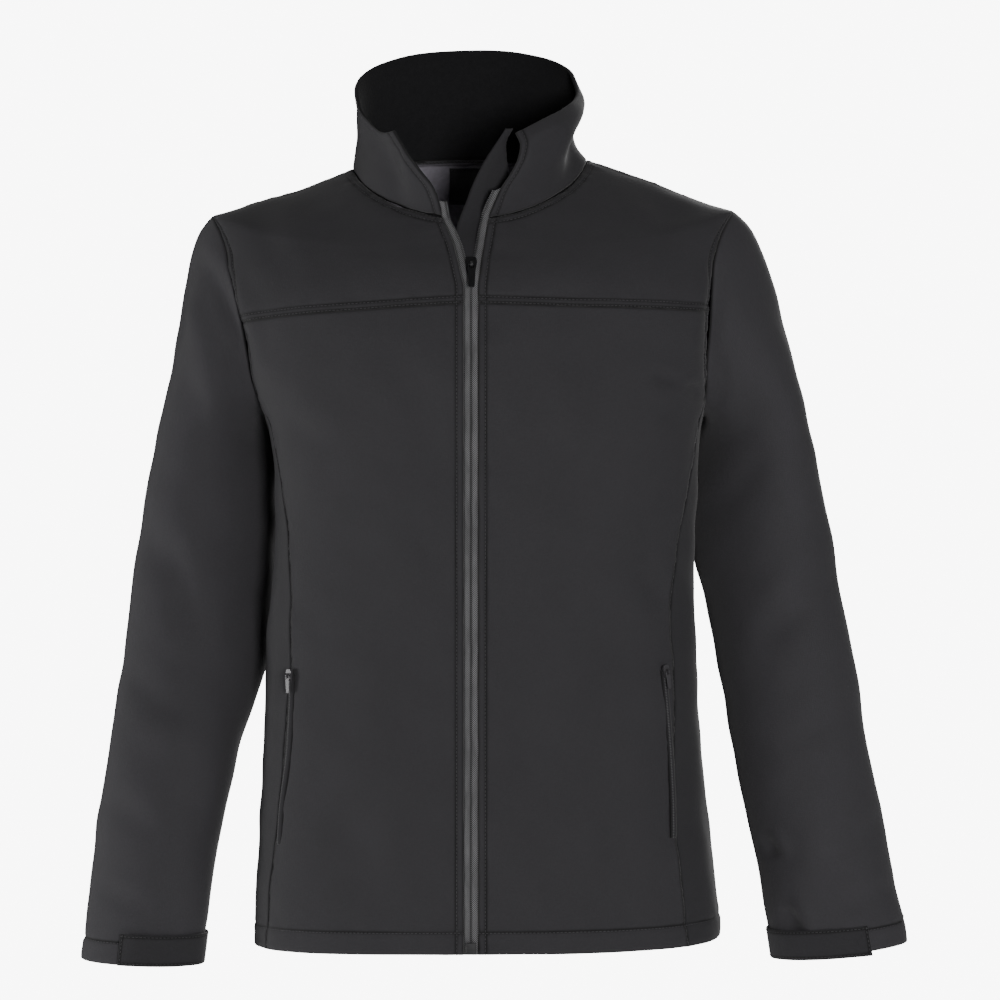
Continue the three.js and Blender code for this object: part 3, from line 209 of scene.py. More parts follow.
# Lengths and seeds of the soft waves
WAVES = {
    "pucker": (0.013, 5), "broad": (0.11, 11), "fine": (0.045, 12), "neck": (0.02, 21), "tab": (0.03, 31),
}
WAVE_COUNT = 10
WAVE_SUM = 4  # what that many waves seldom add up to
FINE_SHARE = 0.4  # of the broad waves' depth
SAME_POINT = 0.02 * MM
WALL_EDGE = 3.35 * MM  # an edge this short may run through a wall
THROUGH_SHARE = 0.3  # and does if this much of it lies along the wall's direction
KEEP_CLEAR = 0.45  # share of a step that stays free beside a fixed row or column
SLEEVE_RINGS = 22
SLEEVE_WALL = 2.0
CHECKED_RING = 10  # ring at which a sleeve's net is turned outwards
CUFF_REACH = 0.03
CUFF_ANGLE = math.radians(60)
WRAPPED = 3  # columns past a closed net's seam that keep its curve smooth
FLAT_ANGLE = math.radians(2)
BEVEL_ANGLE = math.radians(35)
BEVEL_STEPS = 2
FLAT_FACES_FIRST = 100  # the full weight of large faces in the shading
NARROWEST_SHEET = 10.5 * MM

made = {}


def length_setting(name, description, default, low, high):
    return FloatProperty(name=name, description=description, default=default, min=low, max=high,
                         subtype="DISTANCE", unit="LENGTH")


def colour_setting(name, description, *default):
    return FloatVectorProperty(name=name, description=description, default=default, min=0, max=1,
                               subtype="COLOR", size=3)


class JacketSizes(PropertyGroup):
    net_step: length_setting("Net step", "Distance between the cloth's points", 0.0045, 0.002, 0.02)
    crease_strength: FloatProperty(
        name="Creases", description="Share of the creases' full depth", default=1.7, min=0.0, max=3.0)
    ripple: length_setting("Softness", "Depth of the broad uneven waves", 0.0013, 0.0, 0.004)
    pucker: length_setting("Puckers", "Depth of the small waves beside sewn edges", 0.0007, 0.0, 0.002)
    stitch_pitch: length_setting("Stitch pitch", "Distance from one stitch to the next", 0.0034, 0.002, 0.008)
    stitch_length: length_setting("Stitch length", "Length of one stitch", 0.0027, 0.001, 0.007)
    thread: length_setting("Thread", "Thickness of the thread", 0.00055, 0.0002, 0.002)
    coil_pitch: length_setting("Coil pitch", "Distance between the zip's teeth", 0.0017, 0.001, 0.005)
    weave: length_setting("Weave", "Width of one thread of the woven face", 0.0009, 0.0002, 0.004)


class JacketColours(PropertyGroup):
    cloth: colour_setting("Cloth", "Face of the softshell", 0.0225, 0.0216, 0.0246)
    # Painted light: the sleeves are the same softshell as the body, set lighter to stand in for the stronger
    # light falling on them.
    sleeve: colour_setting("Sleeves", "Face of the sleeves", 0.029, 0.0278, 0.0316)
    # The side panels, flap and tabs are set darker than the body's softshell: partly their own darker tone,
    # partly painted shade standing in for the shadow they lie in.
    side: colour_setting("Side panels", "Face of the side panels, flap and tabs", 0.0172, 0.0166, 0.0191)
    lining: colour_setting("Lining", "Fleece inside the body and sleeves", 0.2, 0.188, 0.22)
    fleece: colour_setting("Collar fleece", "Inner face of the collar", 0.005, 0.005, 0.006)
    tape: colour_setting("Zip tape", "Woven tape of the zips", 0.07, 0.07, 0.073)
    coil: colour_setting("Zip teeth", "Teeth of the zips", 0.1, 0.1, 0.105)
    metal: colour_setting("Zip metal", "Sliders and pulls", 0.012, 0.012, 0.013)
    pull: colour_setting("Pocket pulls", "Sliders and pulls of the pockets", 0.045, 0.043, 0.047)
    label: colour_setting("Label", "Bare neck label", 0.03, 0.03, 0.033)
    neck: colour_setting("Neck tape", "Tape over the neck seam", 0.085, 0.082, 0.09)
    thread: colour_setting("Thread", "Sewing thread", 0.042, 0.041, 0.045)


# Nets read from the CAD walls


def merged_copy(node):
    mesh = bmesh.new()
    mesh.from_mesh(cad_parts[node].data)
    bmesh.ops.remove_doubles(mesh, verts=mesh.verts, dist=SAME_POINT)
    mesh.normal_update()
    return mesh


def skins(mesh, wall_edge):
    """The two broad faces of a CAD wall, each as a list of triangles."""
    leans = {}
    for vert in mesh.verts:
        leans[vert] = sum((face.normal * face.calc_area() for face in vert.link_faces), Vector()).normalized()

    def through(edge):
        a, b = edge.verts
        if (a.co - b.co).length > wall_edge:
            return False
        way = (a.co - b.co).normalized()
        return max(abs(way.dot(leans[a])), abs(way.dot(leans[b]))) > THROUGH_SHARE

    rim = [face for face in mesh.faces if any(through(edge) for edge in face.edges)]
    bmesh.ops.delete(mesh, geom=rim, context="FACES")
    found, seen = [], set()
    for first in mesh.faces:
        if first in seen:
            continue
        seen.add(first)
        skin = [first]
        for face in skin:
            for edge in face.edges:
                for other in edge.link_faces:
                    if other not in seen:
                        seen.add(other)
                        skin.append(other)
        found.append(skin)
    found.sort(key=len, reverse=True)
    if len(found) < 2:
        raise RuntimeError("a wall has no two faces")
    return found[:2]


def facing_score(skin, facing):
    if facing == "large":
        return sum(face.calc_area() for face in skin)
    total = 0
    for face in skin:
        centre = face.calc_center_median()
        away = Vector((0, -1, 0)) if facing == "front" else Vector((centre.x, centre.y, 0)).normalized()
        total += face.calc_area() * face.normal.dot(away)
    return -total if facing == "in" else total


def lattice(skin):
    """Whole-number places of the corners of an even net of triangles."""
    place = dict(zip(skin[0].verts, ((0, 0), (1, 0), (0, 1))))
    waiting, seen = [skin[0]], {skin[0]}
    for face in waiting:
        for edge in face.edges:
            for other in edge.link_faces:
                if other in seen:
                    continue
                seen.add(other)
                waiting.append(other)
                a, b = edge.verts
                known = next(vert for vert in face.verts if vert not in (a, b))
                new = next(vert for vert in other.verts if vert not in (a, b))
                if new not in place:
                    place[new] = tuple(place[a][k] + place[b][k] - place[known][k] for k in (0, 1))
    return place


def open_net(skin, columns):
    """Points of an open net in rows from the bottom up."""
    place = lattice(skin)
    ways = set()
    for face in skin:
        for edge in face.edges:
            if edge.is_boundary:
                a, b = (place[vert] for vert in edge.verts)
                step = (a[0] - b[0], a[1] - b[1])
                ways.add(step if step > (0, 0) else (-step[0], -step[1]))
    if (1, -1) in ways and (1, 0) in ways:
        place = {vert: (x + y, -y) for vert, (x, y) in place.items()}
    elif (1, -1) in ways:
        place = {vert: (x + y, x) for vert, (x, y) in place.items()}
    low = [min(spot[k] for spot in place.values()) for k in (0, 1)]
    high = [max(spot[k] for spot in place.values()) for k in (0, 1)]
    net = np.full((high[0] - low[0] + 1, high[1] - low[1] + 1, 3), np.nan)
    for vert, (x, y) in place.items():
        net[x - low[0], y - low[1]] = vert.co
    if np.isnan(net).any():
        raise RuntimeError("a wall's face is not an even net")
    if net.shape[1] != columns:
        net = net.transpose(1, 0, 2)
    if net[-1, :, 2].mean() < net[0, :, 2].mean():
        net = net[::-1]
    return turned_out(net, skin)


def turned_out(net, skin):
    """The net with its columns in the order that makes its face look outwards."""
    cells = np.cross(np.diff(net, axis=1)[:-1], np.diff(net, axis=0)[:, :-1]).sum(axis=(0, 1))
    whole = sum((face.normal * face.calc_area() for face in skin), Vector())
    return net[:, ::-1] if cells @ np.array(whole) < 0 else net


def sharp_loops(mesh):
    """Closed loops of sharp edges at the lower end of a tube, the longer one first."""
    low = min(vert.co.z for vert in mesh.verts) + CUFF_REACH
    rim = [edge for edge in mesh.edges
           if edge.calc_face_angle(0) > CUFF_ANGLE and max(vert.co.z for vert in edge.verts) < low]
    waiting = set(rim)
    loops = []
    for first in rim:
        if first not in waiting:
            continue
        waiting.discard(first)
        loop = list(first.verts)
        while True:
            following = next((edge for edge in loop[-1].link_edges if edge in waiting), None)
            if following is None:
                break
            waiting.discard(following)
            loop.append(following.other_vert(loop[-1]))
        loops.append(loop[:-1] if loop[0] == loop[-1] else loop)
    return sorted(loops, key=lambda loop: -sum((a.co - b.co).length for a, b in zip(loop, loop[1:])))


def round_net(mesh):
    """Points of the outer face of a tube, in rings from the cuff up, each starting under the arm."""
    ring, inside = sharp_loops(mesh)[:2]
    rings, before = [ring], set(inside)
    while len(rings) < SLEEVE_RINGS:
        following = []
        for k, vert in enumerate(ring):
            beside = ring[(k + 1) % len(ring)]
            for face in vert.link_faces:
                if beside in face.verts:
                    third = next(v for v in face.verts if v not in (vert, beside))
                    if third not in before:
                        following.append(third)
        if len(following) != len(ring):
            raise RuntimeError("a sleeve's rings do not match")
        near = sum((a.co - b.co).length for a, b in zip(following, ring))
        far = sum((a.co - b.co).length for a, b in zip(following, ring[1:] + ring[:1]))
        if far < near:
            following = following[-1:] + following[:-1]
        before, ring = set(ring), following
        rings.append(ring)
    net = np.array([[vert.co for vert in ring] for ring in rings])
    corner, beside = rings[CHECKED_RING][:2]
    face = next(face for face in corner.link_faces if beside in face.verts)
    low, high = net[CHECKED_RING], net[CHECKED_RING + 1]
    cell = np.cross(low[1] - low[0], high[0] - low[0])
    if cell @ np.array(face.normal) < 0:
        net = net[:, ::-1]
    net = np.roll(net, -int(net[-1, :, 2].argmin()), axis=1)
    return np.concatenate([net, net[:, :1]], axis=1)


def cad_net(node, columns, facing, wall_edge=WALL_EDGE):
    mesh = merged_copy(node)
    if columns is None:
        net = round_net(mesh)
    else:
        skin = max(skins(mesh, wall_edge), key=lambda faces: facing_score(faces, facing))
        net = open_net(skin, columns)
    mesh.free()
    return net


# Fine nets


def run(points):
    """Distance walked along a row of points."""
    return np.concatenate([[0], np.cumsum(np.linalg.norm(np.diff(points, axis=0), axis=1))])


def read_at(where, far, values):
    """Points or normals of a row at given distances along it."""
    return np.stack([np.interp(where, far, values[:, k]) for k in range(3)], axis=-1)


def curve_at(places, values, at):
    """A smooth curve through values at uneven places, read at other places."""
    slopes = np.gradient(values, places, axis=0)
    k = np.clip(np.searchsorted(places, at, side="right") - 1, 0, len(places) - 2)
    wide = (-1,) + (1,) * (values.ndim - 1)
    span = (places[k + 1] - places[k]).reshape(wide)
    t = (at - places[k]).reshape(wide) / span
    u = 1 - t
    start = values[k] * (1 + 2 * t) * u * u + slopes[k] * span * t * u * u
    return start + values[k + 1] * (1 + 2 * u) * t * t - slopes[k + 1] * span * u * t * t


def mean_walk(net, axis):
    steps = np.linalg.norm(np.diff(net, axis=axis), axis=2).mean(axis=1 - axis)
    return np.concatenate([[0], np.cumsum(steps)])


def walked(net, axis):
    steps = np.linalg.norm(np.diff(net, axis=axis), axis=2)
    pad = [(0, 0), (0, 0)]
    pad[axis] = (1, 0)
    return np.cumsum(np.pad(steps, pad), axis=axis)


def spread(length, step, low, high):
    """Even places along a length, with the given ones near its two ends."""
    even = np.linspace(0, length, max(2, round(length / step) + 1))
    fixed = np.array(sorted({0.0, length, *low, *(length - place for place in high)}))
    clear = np.abs(even[:, None] - fixed[None, :]).min(axis=1) > KEEP_CLEAR * step
    return np.array(sorted([*even[clear], *fixed]))


def net_normals(net, closed):
    across, up = np.gradient(net, axis=1), np.gradient(net, axis=0)
    if closed:
        across[:, 0] = across[:, -1] = net[:, 1] - net[:, -2]
    normals = np.cross(across, up)
    return normals / np.linalg.norm(normals, axis=2, keepdims=True)


def ripple(points, length, seed):
    """Soft uneven waves in space, mostly between -1 and 1."""
    chance = np.random.default_rng(seed)
    total = 0
    for _ in range(WAVE_COUNT):
        way = chance.normal(size=3)
        way *= 2 * math.pi / (np.linalg.norm(way) * length * chance.uniform(0.7, 1.5))
        total = total + np.sin(points @ way + chance.uniform(0, 2 * math.pi))
    return total / WAVE_SUM


def crease_line(row):
    x0, z0, x1, z1, bow = (value * MM for value in row[:5])
    t = np.linspace(0, 1, CREASE_STEPS + 1)
    length = math.hypot(x1 - x0, z1 - z0)
    off = 4 * bow * t * (1 - t)
    x = x0 + (x1 - x0) * t - off * (z1 - z0) / length
    z = z0 + (z1 - z0) * t + off * (x1 - x0) / length
    return np.stack([x, z], axis=1)


def crease_depth(net, normals):
    """Depth of all the creases at the net's points."""
    flat = net[..., [0, 2]]
    depth = np.zeros(net.shape[:2])
    for side, sign in (("front", -1), ("back", 1)):
        turned = np.clip(sign * normals[..., 1] * TURNED["slope"] + TURNED["start"], 0, 1)
        for row in CREASES[side]:
            width, deep, ridge = row[5] * MM, row[6] * MM, row[7]
            line = crease_line(row)
            start, step = line[:-1], np.diff(line, axis=0)
            to = flat[:, :, None, :] - start
            share = np.clip((to * step).sum(-1) / (step * step).sum(-1), 0, 1)
            off = to - share[..., None] * step
            away = np.linalg.norm(off, axis=3)
            nearest = away.argmin(axis=2)[..., None]
            distance = np.take_along_axis(away, nearest, 2)[..., 0]
            along = (np.take_along_axis(share, nearest, 2)[..., 0] + nearest[..., 0]) / CREASE_STEPS
            above = np.take_along_axis(off[..., 1], nearest, 2)[..., 0] > 0
            fade = np.sin(math.pi * np.clip(along, 0, 1)) ** CREASE_FADE
            shape = np.exp(-((distance / width) ** 2))
            raised = ridge * np.exp(-(((distance - RIDGE_PLACE * width) / width) ** 2)) * above
            depth += turned * fade * deep * (raised - shape)
    return depth


class Cloth:
    """A wall of cloth as a fine net of points, with the sizes of the CAD net that it follows."""

    def __init__(self, coarse, edges, step, closed=False, inward=False):
        self.edges = edges
        self.closed = closed
        self.outwards = -1 if inward else 1
        self.cad_rows, self.cad_columns = mean_walk(coarse, 0), mean_walk(coarse, 1)
        near = {edge: set() for edge in EDGES}
        for edge, _, _, kind in edges:
            near[edge].update(distance * MM for distance, _ in EDGE_SHAPES[kind]["relief"])
        self.rows = spread(self.cad_rows[-1], step, near["bottom"], near["top"])
        self.columns = spread(self.cad_columns[-1], step, near["start"], near["end"])
        tall = curve_at(self.cad_rows, coarse, self.rows)
        if closed:
            length = self.cad_columns[-1]
            places = np.concatenate([self.cad_columns[-1 - WRAPPED:-1] - length, self.cad_columns,
                                     self.cad_columns[1:1 + WRAPPED] + length])
            wide = np.concatenate([tall[:, -1 - WRAPPED:-1], tall, tall[:, 1:1 + WRAPPED]], axis=1)
            fine = curve_at(places, wide.transpose(1, 0, 2), self.columns)
        else:
            fine = curve_at(self.cad_columns, tall.transpose(1, 0, 2), self.columns)
        self.net = fine.transpose(1, 0, 2)
        self.close_seams()
        self.normals = net_normals(self.net, closed)
        areas = np.cross(np.diff(self.net, axis=1)[:-1], np.diff(self.net, axis=0)[:, :-1])
        self.area = float(np.linalg.norm(areas, axis=2).sum())
        self.flat = (float(walked(self.net, 1)[:, -1].max()), float(walked(self.net, 0)[-1].max()))

    def close_seams(self):
        """Draw sewn edges out over the gap that the CAD walls keep at a seam."""
        for edge, first, last, kind in self.edges:
            if kind not in SEWN_EDGES:
                continue
            net = self.net if edge in UPRIGHT_EDGES else self.net.transpose(1, 0, 2)
            at, beside = (-1, -2) if edge in FAR_EDGES else (0, 1)
            on = self.stretch(edge, first, last).ravel()
            away = net[on, at] - net[on, beside]
            away /= np.maximum(np.linalg.norm(away, axis=1, keepdims=True), 1e-9)
            net[on, at] += away * SEAM_OVERLAP

    def distance(self, edge):
        axis = 1 if edge in UPRIGHT_EDGES else 0
        far = walked(self.net, axis)
        return far.take([-1], axis=axis) - far if edge in FAR_EDGES else far

    def stretch(self, edge, first, last):
        """Which rows or columns lie on this stretch of an edge."""
        upright = edge in UPRIGHT_EDGES
        places, marks = (self.rows, self.cad_rows) if upright else (self.columns, self.cad_columns)
        low, high = marks[first] - SAME_POINT, marks[min(last, len(marks) - 1)] + SAME_POINT
        on = (places > low) & (places < high)
        return on[:, None] if upright else on[None, :]

    def shape_edges(self, pucker):
        depth = np.zeros(self.net.shape[:2])
        self.seam = np.full(depth.shape, FAR_FROM_SEAM)
        waves = ripple(self.net, *WAVES["pucker"])
        gather = np.zeros(depth.shape)
        for edge, first, last, kind in self.edges:
            relief = np.array(EDGE_SHAPES[kind]["relief"]) * MM
            distance = self.distance(edge)
            on = self.stretch(edge, first, last)
            depth += np.where(on, np.interp(distance, relief[:, 0], relief[:, 1]), 0)
            # Sewn edges count in the seam map from the edge itself, so the painted shade of the grooves also
            # darkens the seam line.
            if kind in SEWN_EDGES:
                self.seam = np.minimum(self.seam, np.where(on, distance, FAR_FROM_SEAM))
            for inset in EDGE_SHAPES[kind]["stitches"]:
                away = np.where(on, np.abs(distance - inset * MM), FAR_FROM_SEAM)
                self.seam = np.minimum(self.seam, away)
                gather = np.maximum(gather, np.exp(-away / GATHER_REACH))
        self.net = self.net + self.normals * (np.maximum(depth, DEEPEST) + gather * waves * pucker)[..., None]

    def crease(self, strength, soft):
        depth = crease_depth(self.net, self.normals * self.outwards) * strength * self.outwards
        waves = ripple(self.net, *WAVES["broad"]) + FINE_SHARE * ripple(self.net, *WAVES["fine"])
        depth += soft * waves * self.outwards
        self.net = self.net + self.normals * depth[..., None]
        self.normals = net_normals(self.net, self.closed)

    def wave(self, name, depth):
        """Bend the net by soft waves of this many millimetres."""
        waves = ripple(self.net, *WAVES[name])
        self.net = self.net + self.normals * (waves * depth * MM)[..., None]

    def line(self, edge, first, last, inset):
        """Points and normals of a line set in from an edge."""
        net, normals = self.net, self.normals
        if edge not in UPRIGHT_EDGES:
            net, normals = net.transpose(1, 0, 2), normals.transpose(1, 0, 2)
        on = self.stretch(edge, first, last).ravel()
        if edge in FAR_EDGES:
            net, normals = net[:, ::-1], normals[:, ::-1]
        points, ways = [], []
        for row, way in zip(net[on], normals[on]):
            far = run(row)
            points.append(read_at(inset, far, row))
            ways.append(read_at(inset, far, way))
        return np.array(points), np.array(ways)


def add_object(name, data):
    item = bpy.data.objects.new(name, data)
    bpy.context.scene.collection.objects.link(item)
    return item


def smooth_object(name, mesh, materials):
    for material in materials:
        mesh.materials.append(material)
    mesh.polygons.foreach_set("use_smooth", [True] * len(mesh.polygons))
    return add_object(name, mesh)


def cloth_object(name, cloth, wall, materials):
    """A finished piece from a cloth's net: grid, cut map, seam distance and thickness."""
    rows, columns = cloth.net.shape[:2]
    grid = bmesh.new()
    bmesh.ops.create_grid(grid, x_segments=columns - 1, y_segments=rows - 1, size=0.5)
    mesh = bpy.data.meshes.new(name)
    grid.to_mesh(mesh)
    grid.free()
    if len(mesh.vertices) != rows * columns:
        raise RuntimeError(f"{name}: the grid has {len(mesh.vertices)} points, not {rows * columns}")
    mesh.vertices.foreach_set("co", cloth.net.reshape(-1).astype(np.float32))
    corners = np.zeros(len(mesh.loops), int)
    mesh.loops.foreach_get("vertex_index", corners)
    cut = np.stack(np.meshgrid(cloth.columns, cloth.rows), axis=2).reshape(-1, 2)
    layer = mesh.uv_layers.new(name="cut")
    layer.data.foreach_set("uv", cut[corners].reshape(-1).astype(np.float32))
    seam = mesh.attributes.new("seam", "FLOAT", "POINT")
    seam.data.foreach_set("value", cloth.seam.reshape(-1).astype(np.float32))
    if cloth.closed:
        work = bmesh.new()
        work.from_mesh(mesh)
        bmesh.ops.remove_doubles(work, verts=work.verts, dist=SAME_POINT / 4)
        work.to_mesh(mesh)
        work.free()
    piece = smooth_object(name, mesh, materials)
    solid = piece.modifiers.new("wall", "SOLIDIFY")
    solid.thickness = wall
    solid.offset = -1
    solid.use_rim = True
    solid.material_offset = 1 if len(materials) > 1 else 0
    solid.material_offset_rim = 0
    return piece


# Rows of small parts along lines


def along(points, ways, pitch):
    """Evenly spaced spots on a line: places, directions along it and normals."""
    far = run(points)
    count = max(1, int(far[-1] / pitch))
    at = (np.arange(count) + 0.5) * far[-1] / count
    heads = read_at(at + pitch / 4, far, points) - read_at(at - pitch / 4, far, points)
    heads /= np.maximum(np.linalg.norm(heads, axis=1, keepdims=True), 1e-9)
    return read_at(at, far, points), heads, read_at(at, far, ways)


def bead(sides, rings):
    """A small rounded rod along x, one unit long and one unit thick."""
    mesh = bmesh.new()
    bmesh.ops.create_uvsphere(mesh, u_segments=sides, v_segments=rings, radius=0.5)
    bmesh.ops.rotate(mesh, verts=mesh.verts, matrix=Matrix.Rotation(math.pi / 2, 3, "Y"))
    data = bpy.data.meshes.new("bead")
    mesh.to_mesh(data)
    mesh.free()
    return data


def beads_object(name, rows, size, finish, sides=5, rings=4):
    """Copies of a small rod on all rows, each of spots, heads and ups. size is length, width and height."""
    spots, heads, ups = (np.concatenate(part) for part in zip(*rows))
    shape = bead(sides, rings)
    points = np.array([vert.co for vert in shape.vertices])
    faces = [tuple(face.vertices) for face in shape.polygons]
    bpy.data.meshes.remove(shape)
    heads = heads / np.linalg.norm(heads, axis=1, keepdims=True)
    side = np.cross(ups, heads)
    side /= np.linalg.norm(side, axis=1, keepdims=True)
    up = np.cross(heads, side)
    sized = points * np.array(size)
    placed = (spots[:, None, :] + sized[None, :, :1] * heads[:, None, :]
              + sized[None, :, 1:2] * side[:, None, :] + sized[None, :, 2:] * up[:, None, :])
    count = len(points)
    all_faces = [tuple(corner + k * count for corner in face) for k in range(len(spots)) for face in faces]
    mesh = bpy.data.meshes.new(name)
    mesh.from_pydata(placed.reshape(-1, 3).tolist(), [], all_faces)
    return smooth_object(name, mesh, [finish_for(finish)])


def teeth(cloth, edge, coil):
    """A row of zip teeth along an edge, each lying across it."""
    pitch = bpy.context.scene.jacket_sizes.coil_pitch * coil["pitch"]
    at, head, up = along(*cloth.line(edge, *WHOLE, coil["inset"] * MM), pitch)
    return at - up * coil["behind"] * MM, np.cross(head, up), up


def teeth_object(name, rows, coil, finish):
    return settle(beads_object(name, rows, np.array(coil["size"]) * MM, finish, sides=6), "zip_tape")


# Finishes

MIX_A, MIX_B, MIX_RESULT = 6, 7, 2  # a mix node's two colours and its result
EVEN = (1, 1, 1)


def add_node(tree, kind, place=(0, 0), **values):
    node = tree.nodes.new(kind)
    node.location = place
    for key, value in values.items():
        setattr(node, key, value)
    return node


def math_node(tree, operation, a, b=None):
    node = add_node(tree, "ShaderNodeMath", operation=operation)
    for socket, value in zip(node.inputs, (a, b)):
        if value is None:
            continue
        if isinstance(value, (int, float)):
            socket.default_value = value
        else:
            tree.links.new(value, socket)
    return node.outputs[0]


def new_group(name, inputs, outputs):
    tree = bpy.data.node_groups.new(name, "ShaderNodeTree")
    for title, kind, default in inputs:
        socket = tree.interface.new_socket(name=title, in_out="INPUT", socket_type=kind)
        if default is not None:
            socket.default_value = default
    for title, kind in outputs:
        tree.interface.new_socket(name=title, in_out="OUTPUT", socket_type=kind)
    return tree, add_node(tree, "NodeGroupInput"), add_node(tree, "NodeGroupOutput")


def scaled_noise(tree, vector, factors, scale, detail=1.0):
    """A noise on coordinates stretched by fixed factors."""
    stretch = add_node(tree, "ShaderNodeVectorMath", operation="MULTIPLY")
    tree.links.new(vector, stretch.inputs[0])
    stretch.inputs[1].default_value = factors
    noise = add_node(tree, "ShaderNodeTexNoise")
    tree.links.new(stretch.outputs[0], noise.inputs["Vector"])
    if isinstance(scale, (int, float)):
        noise.inputs["Scale"].default_value = scale
    else:
        tree.links.new(scale, noise.inputs["Scale"])
    noise.inputs["Detail"].default_value = detail
    return noise.outputs["Fac"]


def times(tree, a, b):
    return math_node(tree, "MULTIPLY", a, b)


def face_group(name, size):
    """A group for a cloth's face, from its cut map in metres and the size of its threads."""
    tree, given, result = new_group(
        name, (("Cut", "NodeSocketVector", None), ("Size", "NodeSocketFloat", size)),
        (("Height", "NodeSocketFloat"), ("Shade", "NodeSocketFloat")))
    return tree, given.outputs["Cut"], given.outputs["Size"], result


def woven_group(name):
    """Uneven warp and weft threads and a soft change of shade."""
    tree, cut, thread, result = face_group(name, 0.0009)
    scale = math_node(tree, "DIVIDE", 1.0, thread)
    warp = scaled_noise(tree, cut, (1, 0.18, 1), scale)
    weft = scaled_noise(tree, cut, (0.18, 1, 1), scale)
    tree.links.new(math_node(tree, "MAXIMUM", warp, weft), result.inputs["Height"])
    broad = times(tree, scaled_noise(tree, cut, (1, 0.7, 1), 22.0, 3.0), 0.55)
    fine = times(tree, scaled_noise(tree, cut, EVEN, 420.0, 2.0), 0.45)
    tree.links.new(math_node(tree, "ADD", broad, fine), result.inputs["Shade"])
    return tree


def fleece_group(name):
    """Short brushed pile: tufts and their shade."""
    tree, cut, tuft, result = face_group(name, 0.0012)
    scale = math_node(tree, "DIVIDE", 1.0, tuft)
    tufts = scaled_noise(tree, cut, EVEN, scale, 3.0)
    cells = add_node(tree, "ShaderNodeTexVoronoi")
    tree.links.new(cut, cells.inputs["Vector"])
    tree.links.new(times(tree, scale, 0.5), cells.inputs["Scale"])
    hollow = times(tree, cells.outputs["Distance"], 0.5)
    tree.links.new(math_node(tree, "SUBTRACT", tufts, hollow), result.inputs["Height"])
    tree.links.new(scaled_noise(tree, cut, EVEN, 160.0, 2.0), result.inputs["Shade"])
    return tree


def twill_group(name):
    """Crossing diagonal ribs that stand up as rows of dots."""
    tree, cut, pitch, result = face_group(name, 0.0016)
    apart = add_node(tree, "ShaderNodeSeparateXYZ")
    tree.links.new(cut, apart.inputs[0])
    ribs = []
    for operation in ("ADD", "SUBTRACT"):
        slant = math_node(tree, operation, apart.outputs[0], apart.outputs[1])
        turns = times(tree, math_node(tree, "DIVIDE", slant, pitch), math.tau)
        ribs.append(math_node(tree, "ADD", times(tree, math_node(tree, "SINE", turns), 0.5), 0.5))
    dots = times(tree, *ribs)
    uneven = times(tree, scaled_noise(tree, cut, (1, 0.35, 1), 90.0, 2.0), 2.0)
    tree.links.new(dots, result.inputs["Height"])
    tree.links.new(times(tree, dots, uneven), result.inputs["Shade"])
    return tree


def seam_group(name):
    """A narrow groove where the cloth is stitched down, from the distance to the stitch line; the same mask
    places the painted shade along it.
    """
    tree, given, result = new_group(
        name, (("Distance", "NodeSocketFloat", FAR_FROM_SEAM), ("Width", "NodeSocketFloat", 0.0012)),
        (("Groove", "NodeSocketFloat"),))
    share = math_node(tree, "DIVIDE", given.outputs["Distance"], given.outputs["Width"])
    fall = math_node(tree, "POWER", 2.718, times(tree, times(tree, share, share), -1.0))
    tree.links.new(fall, result.inputs["Groove"])
    return tree


GROUPS = {"woven threads": woven_group, "brushed pile": fleece_group, "speckled twill": twill_group,
          "stitched groove": seam_group}


def group(name):
    return bpy.data.node_groups.get(name) or GROUPS[name](name)


def tinted(tree, mask, colour, low, high):
    """A colour that goes from low to high times itself with a mask."""
    ramp = add_node(tree, "ShaderNodeMix", data_type="RGBA")
    tree.links.new(mask, ramp.inputs["Factor"])
    ramp.inputs[MIX_A].default_value = (*(part * low for part in colour), 1)
    ramp.inputs[MIX_B].default_value = (*(part * high for part in colour), 1)
    return ramp.outputs[MIX_RESULT]


def start_material(name):
    material = bpy.data.materials.new(name)
    material.use_nodes = True
    tree = material.node_tree
    return material, tree, tree.nodes["Principled BSDF"]


def bump(tree, shader, height, distance, strength=1.0):
    node = add_node(tree, "ShaderNodeBump")
    node.inputs["Distance"].default_value = distance
    node.inputs["Strength"].default_value = strength
    tree.links.new(height, node.inputs["Height"])
    tree.links.new(node.outputs["Normal"], shader.inputs["Normal"])


# Stitch-line grooves: share and shade set the painted shade that darkens the colour along them, width their
# reach, depth the bump's dent.
GROOVE_AND_PAINTED_SHADE = {"share": 0.92, "shade": 0.12, "width": 0.0014, "depth": 1.6}


